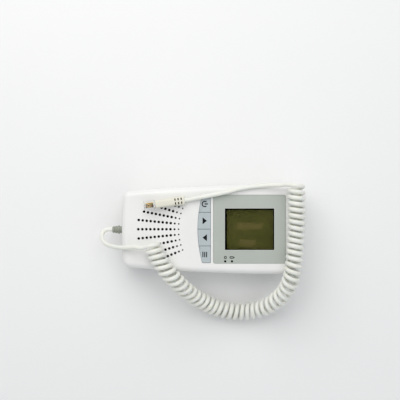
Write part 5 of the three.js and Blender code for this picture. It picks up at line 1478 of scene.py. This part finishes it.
def addPlugWires():
    # The conductors under the blades, each a rounded rod, and the end of the cord's inner jacket
    pieces = []
    radius = wires["radius"]
    soft = quarter(3)[::-1] * wires["softEnd"]
    for name, y in zip(wires["names"], bladeRows()):
        profile = [(radius - inset, wires["start"] + depth) for inset, depth in soft]
        profile.append((radius, jacket["start"] + wires["intoJacket"]))
        rod = turned(profile, (0, y + blade["thickness"] / 2, wires["z"]), "x", wires["sides"])
        pieces.append(addPiece(f"{name}Wire", placedByPlug(rod), wireFinishes[name], slot="ivory_vinyl"))
    low = (jacket["start"], -jacket["half"], jacket["bottom"])
    high = (plug["bodyLength"] + jacket["pastBody"], jacket["half"], jacket["top"])
    shape = placedByPlug(softBlock(low, high, jacket["corner"], jacket["edge"]))
    pieces.append(addPiece("plugJacket", shape, ivoryVinyl, slot="ivory_vinyl"))
    return pieces


relief = dict(length=0.006, baseRadius=0.0035, tipRadius=0.0025, tipSoft=0.0005, baseSoft=0.0003, sides=64)
relief.update(grooves=2, grooveDepth=0.0006, neckRadius=0.0028, flangeRadius=0.0046, flangeThickness=0.0015)
# Half a groove's section: (share of its half width from the middle, share of its depth)
relief.update(grooveShares=[(1.3, 0), (0.8, 0.75), (0.4, 1)])


def addRelief():
    # Along X from the tip: a tapered sleeve with grooves, its neck through the wall and the flange inside
    low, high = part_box("cord_relief")
    length, deep = relief["length"], relief["grooveDepth"]
    base, point = relief["baseRadius"], relief["tipRadius"]
    tip, start = low.x, low.x + length
    parts = relief["grooves"] + 1
    profile = [(point - inset, tip + height) for inset, height in quarter(4)[::-1] * relief["tipSoft"]]
    for number in range(relief["grooves"], 0, -1):
        x = start - number * length / parts
        radius = base + (point - base) * number / parts
        half = deep / 2
        shares = relief["grooveShares"]
        profile += [(radius - deep * depth, x - half * away) for away, depth in shares]
        profile += [(radius - deep * depth, x + half * away) for away, depth in reversed(shares)]
    profile += [(base - inset, start - height) for inset, height in quarter(4) * relief["baseSoft"]]
    flangeX = high.x - relief["flangeThickness"]
    profile += [(relief["neckRadius"], start), (relief["neckRadius"], flangeX)]
    profile += [(relief["flangeRadius"], flangeX), (relief["flangeRadius"], high.x)]
    sleeve = turned(profile, (0, cord["leadY"], seamZ), "x", relief["sides"])
    facts = dict(replaced=("cord_relief",), slot="relief_vinyl", crease=40)
    return addPiece("cordRelief", sleeve, reliefVinyl, **facts)


cordEnds = [addRelief(), addPlugBoot(), addBootPaintedShade(), addPlugBody(), addPlugContacts(), addPlugLatch()]
cordEnds += addPlugWires()
print("plug and relief")


# What is inside: the lead to the board, sockets, cells and speaker
innerLead = dict(diameter=0.003, sides=14, startX=-0.0682, endX=-0.0209, headerY=-0.009, headerZ=0.01835)
innerLead.update(side=(0, 0.3, -1.0), turns=[
    (-0.05999, -0.00798, 0.0119), (-0.05096, -0.01701, 0.0085), (-0.04004, -0.02058, 0.00748),
    (-0.02996, -0.01701, 0.01003), (-0.02492, -0.01155, 0.01547),
])


def addInnerLead():
    # A tube through listed points, straight for its own diameter at both ends
    diameter = innerLead["diameter"]
    start = (innerLead["startX"], cord["leadY"], seamZ)
    end = (innerLead["endX"], innerLead["headerY"], innerLead["headerZ"])
    after = (start[0] + diameter, *start[1:])
    before = (end[0] - diameter, *end[1:])
    route = np.array([start, after, *innerLead["turns"], before, end])
    line = np.vstack([handStretch(route, (0, 0)), route[-1:]])
    side = np.repeat([innerLead["side"]], len(line), 0)
    shape = tube(line, side, diameter / 2, innerLead["sides"])
    addPiece("innerLead", shape, ivoryVinyl, replaced=("inner_lead",), slot="ivory_vinyl")


socket = dict(bodyLength=0.0115, bodyCorner=0.0003, bodyEdge=0.0002, barrelRadius=0.003, barrelSoft=0.0003)
socket.update(overlap=0.001, boreDepth=0.009, flare=0.00035, headphoneBore=0.0018, chargingBore=0.00225)
socket.update(pinRadius=0.0007, pinLength=0.0095, pinInset=0.0004, pinSoft=0.0004)
socket.update(barrelSides=40, boreSides=32, pinSides=20)


def addSocket(kind):
    # A block on the board with a barrel through the wall, bored from outside
    low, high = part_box(f"{kind}_socket")
    place = (0, (low.y + high.y) / 2, (low.z + high.z) / 2)
    end = high.x
    right = low.x + socket["bodyLength"]
    block = softBlock(low, (right, high.y, high.z), socket["bodyCorner"], socket["bodyEdge"])
    radius = socket["barrelRadius"]
    mouth = [(radius - inset, end - depth) for inset, depth in quarter(4) * socket["barrelSoft"]]
    barrel = turned([(radius, right - socket["overlap"]), *mouth], place, "x", socket["barrelSides"])
    bore = socket[f"{kind}Bore"]
    flare = socket["flare"]
    profile = [(bore, end - socket["boreDepth"]), (bore, end - flare)]
    profile += [(bore + flare, end), (bore + flare, end + housing["past"])]
    hole = turned(profile, place, "x", socket["boreSides"])
    made = carved(looseObject(f"{kind}Socket", block), [barrel], [hole])
    dressed(made, blackPlastic, replaced=(f"{kind}_socket",), slot="black_plastic")
    return place, end


def addSockets():
    # The charging socket has a pin in its bore
    addSocket("headphone")
    place, end = addSocket("charging")
    radius = socket["pinRadius"]
    tipX = end - socket["pinInset"]
    tip = [(radius - inset, tipX - depth) for inset, depth in quarter(4) * socket["pinSoft"]]
    pin = turned([(radius, end - socket["pinLength"]), *tip], place, "x", socket["pinSides"])
    addPiece("chargingPin", pin, steel, slot="steel")


cell = dict(nub=0.0027, nubLength=0.0013, nubSoft=0.0003, softEdge=0.0008, wrap=0.0001, sides=56)
cell.update(sleeveInset=0.0006, sleeveSoft=0.0002, sleeveLip=0.0001)


def addCells():
    # A steel can with rounded shoulders and a nub; a printed sleeve covers it but for the ends
    nub, nubSoft, wrap = cell["nub"], cell["nubSoft"], cell["wrap"]
    for number, side in ((1, 1), (2, -1)):
        name = f"battery_cell_{number}"
        low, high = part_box(name)
        place = (0, (low.y + high.y) / 2, (low.z + high.z) / 2)
        radius = (high.z - low.z) / 2
        start = low.x if side > 0 else low.x + cell["nubLength"]
        stop = high.x - cell["nubLength"] if side > 0 else high.x
        can = radius - wrap
        soft = quarter(4) * cell["softEdge"]
        body = [(can - inset, start + depth) for inset, depth in soft[::-1]]
        body += [(can - inset, stop - depth) for inset, depth in soft]
        if side > 0:
            body += [(nub, stop), (nub, high.x - nubSoft), (nub - nubSoft, high.x)]
        else:
            body = [(nub - nubSoft, low.x), (nub, low.x + nubSoft), (nub, start), *body]
        shape = turned(body, place, "x", cell["sides"])
        addPiece(f"cell{number}Can", shape, steel, replaced=(name,), slot="steel")
        low, high = start + cell["sleeveInset"], stop - cell["sleeveInset"]
        edge = can - cell["sleeveLip"]
        lip = cell["sleeveSoft"]
        sleeve = [(edge, low), (radius, low + lip), (radius, high - lip), (edge, high)]
        shape = turned(sleeve, place, "x", cell["sides"])
        addPiece(f"cell{number}Sleeve", shape, cellWrap, slot="cell_wrap")


cone = dict(capRadius=0.0046, capHeight=0.002, seat=0.0006, slopeInset=0.0034, slopeRise=0.0034)
cone.update(ripple=0.00007, ripples=6, rollInset=0.0018, rollHalf=0.0014, rollHeight=0.0007, rimDrop=0.0008)
cone.update(apex=0.0001, underInset=0.0008, underDrop=0.0014, rimBottom=0.0011, sides=72)
cone.update(slopeSteps=40, rollSteps=12, capSteps=8)


def addSpeakerCone():
    # A paper cone: rolled edge, ribbed slope and a domed cap
    low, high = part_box("speaker_cone")
    spot = middleOf("speaker_cone")
    edge = high.x - spot.x
    inner = cone["capRadius"]
    seat = low.z + cone["seat"]
    rimZ = high.z - cone["rimDrop"]
    share = np.linspace(0, 1, cone["slopeSteps"])
    slopeX = inner + (edge - cone["slopeInset"] - inner) * share
    ripple = cone["ripple"] * np.sin(share * 2 * cone["ripples"] * math.pi)
    slope = np.column_stack([slopeX, seat + cone["slopeRise"] * share + ripple])
    turn = np.linspace(0, math.pi, cone["rollSteps"])
    rollX = edge - cone["rollInset"] - cone["rollHalf"] * np.cos(turn)
    roll = np.column_stack([rollX, rimZ + cone["rollHeight"] * np.sin(turn)])
    turn = np.linspace(0, math.pi / 2, cone["capSteps"], endpoint=False)
    cap = np.column_stack([inner * np.cos(turn), seat + cone["capHeight"] * np.sin(turn)])
    tip = [(cone["apex"], seat + cone["capHeight"])]
    under = [(cone["apex"], low.z), (inner, low.z), (edge - cone["underInset"], high.z - cone["underDrop"])]
    under += [(edge, high.z - cone["rimBottom"]), (edge, rimZ)]
    profile = np.vstack([under, roll[::-1], slope[::-1], cap, tip])
    shape = turned(profile, (spot.x, spot.y, 0), sides=cone["sides"])
    addPiece("speakerCone", shape, blackPaper, replaced=("speaker_cone",), slot="paper")


cloth = dict(thickness=0.00015, edge=0.0001, lift=0.00001, sides=96)


def addGrilleCloth():
    # Woven cloth stretched over the gasket, just under the grille's holes
    radius = (speakerHigh.x - speakerLow.x) / 2
    bottom = speakerHigh.z + cloth["lift"]
    edge = quarter(3) * (cloth["edge"], -cloth["edge"]) + (0, speakerHigh.z + cloth["thickness"])
    profile = [(radius, bottom)] + [(radius - inset, height) for inset, height in edge]
    shape = turned(profile, (speakerX, 0, 0), sides=cloth["sides"])
    addPiece("grilleCloth", shape, grilleBlack, slot="foam")


def dressNodes():
    # Hidden pieces keep the shapes of their nodes
    contacts = ("battery_contact_inner", "battery_contact_outer")
    finishes = {
        blackPlastic: ("lcd_holder", "board_link", "processor_chip", "amplifier_chip"),
        greySilicone: ("key_mat", "lcd_connector"),
        boardGreen: ("main_board", "key_board"),
        ivoryVinyl: ("lead_header",),
        darkFoam: ("speaker_gasket",),
        steel: ("crystal_can", "speaker_basket", "speaker_magnet", *contacts),
    }
    for material, names in finishes.items():
        for name in names:
            nodes[name].material_slots[0].material = material
    for name in nodes:
        if name.startswith(("board_screw", "key_board_screw")):
            nodes[name].material_slots[0].material = steel


addInnerLead()
addSockets()
addCells()
addSpeakerCone()
addGrilleCloth()
dressNodes()
print("sockets, cells, speaker and boards")
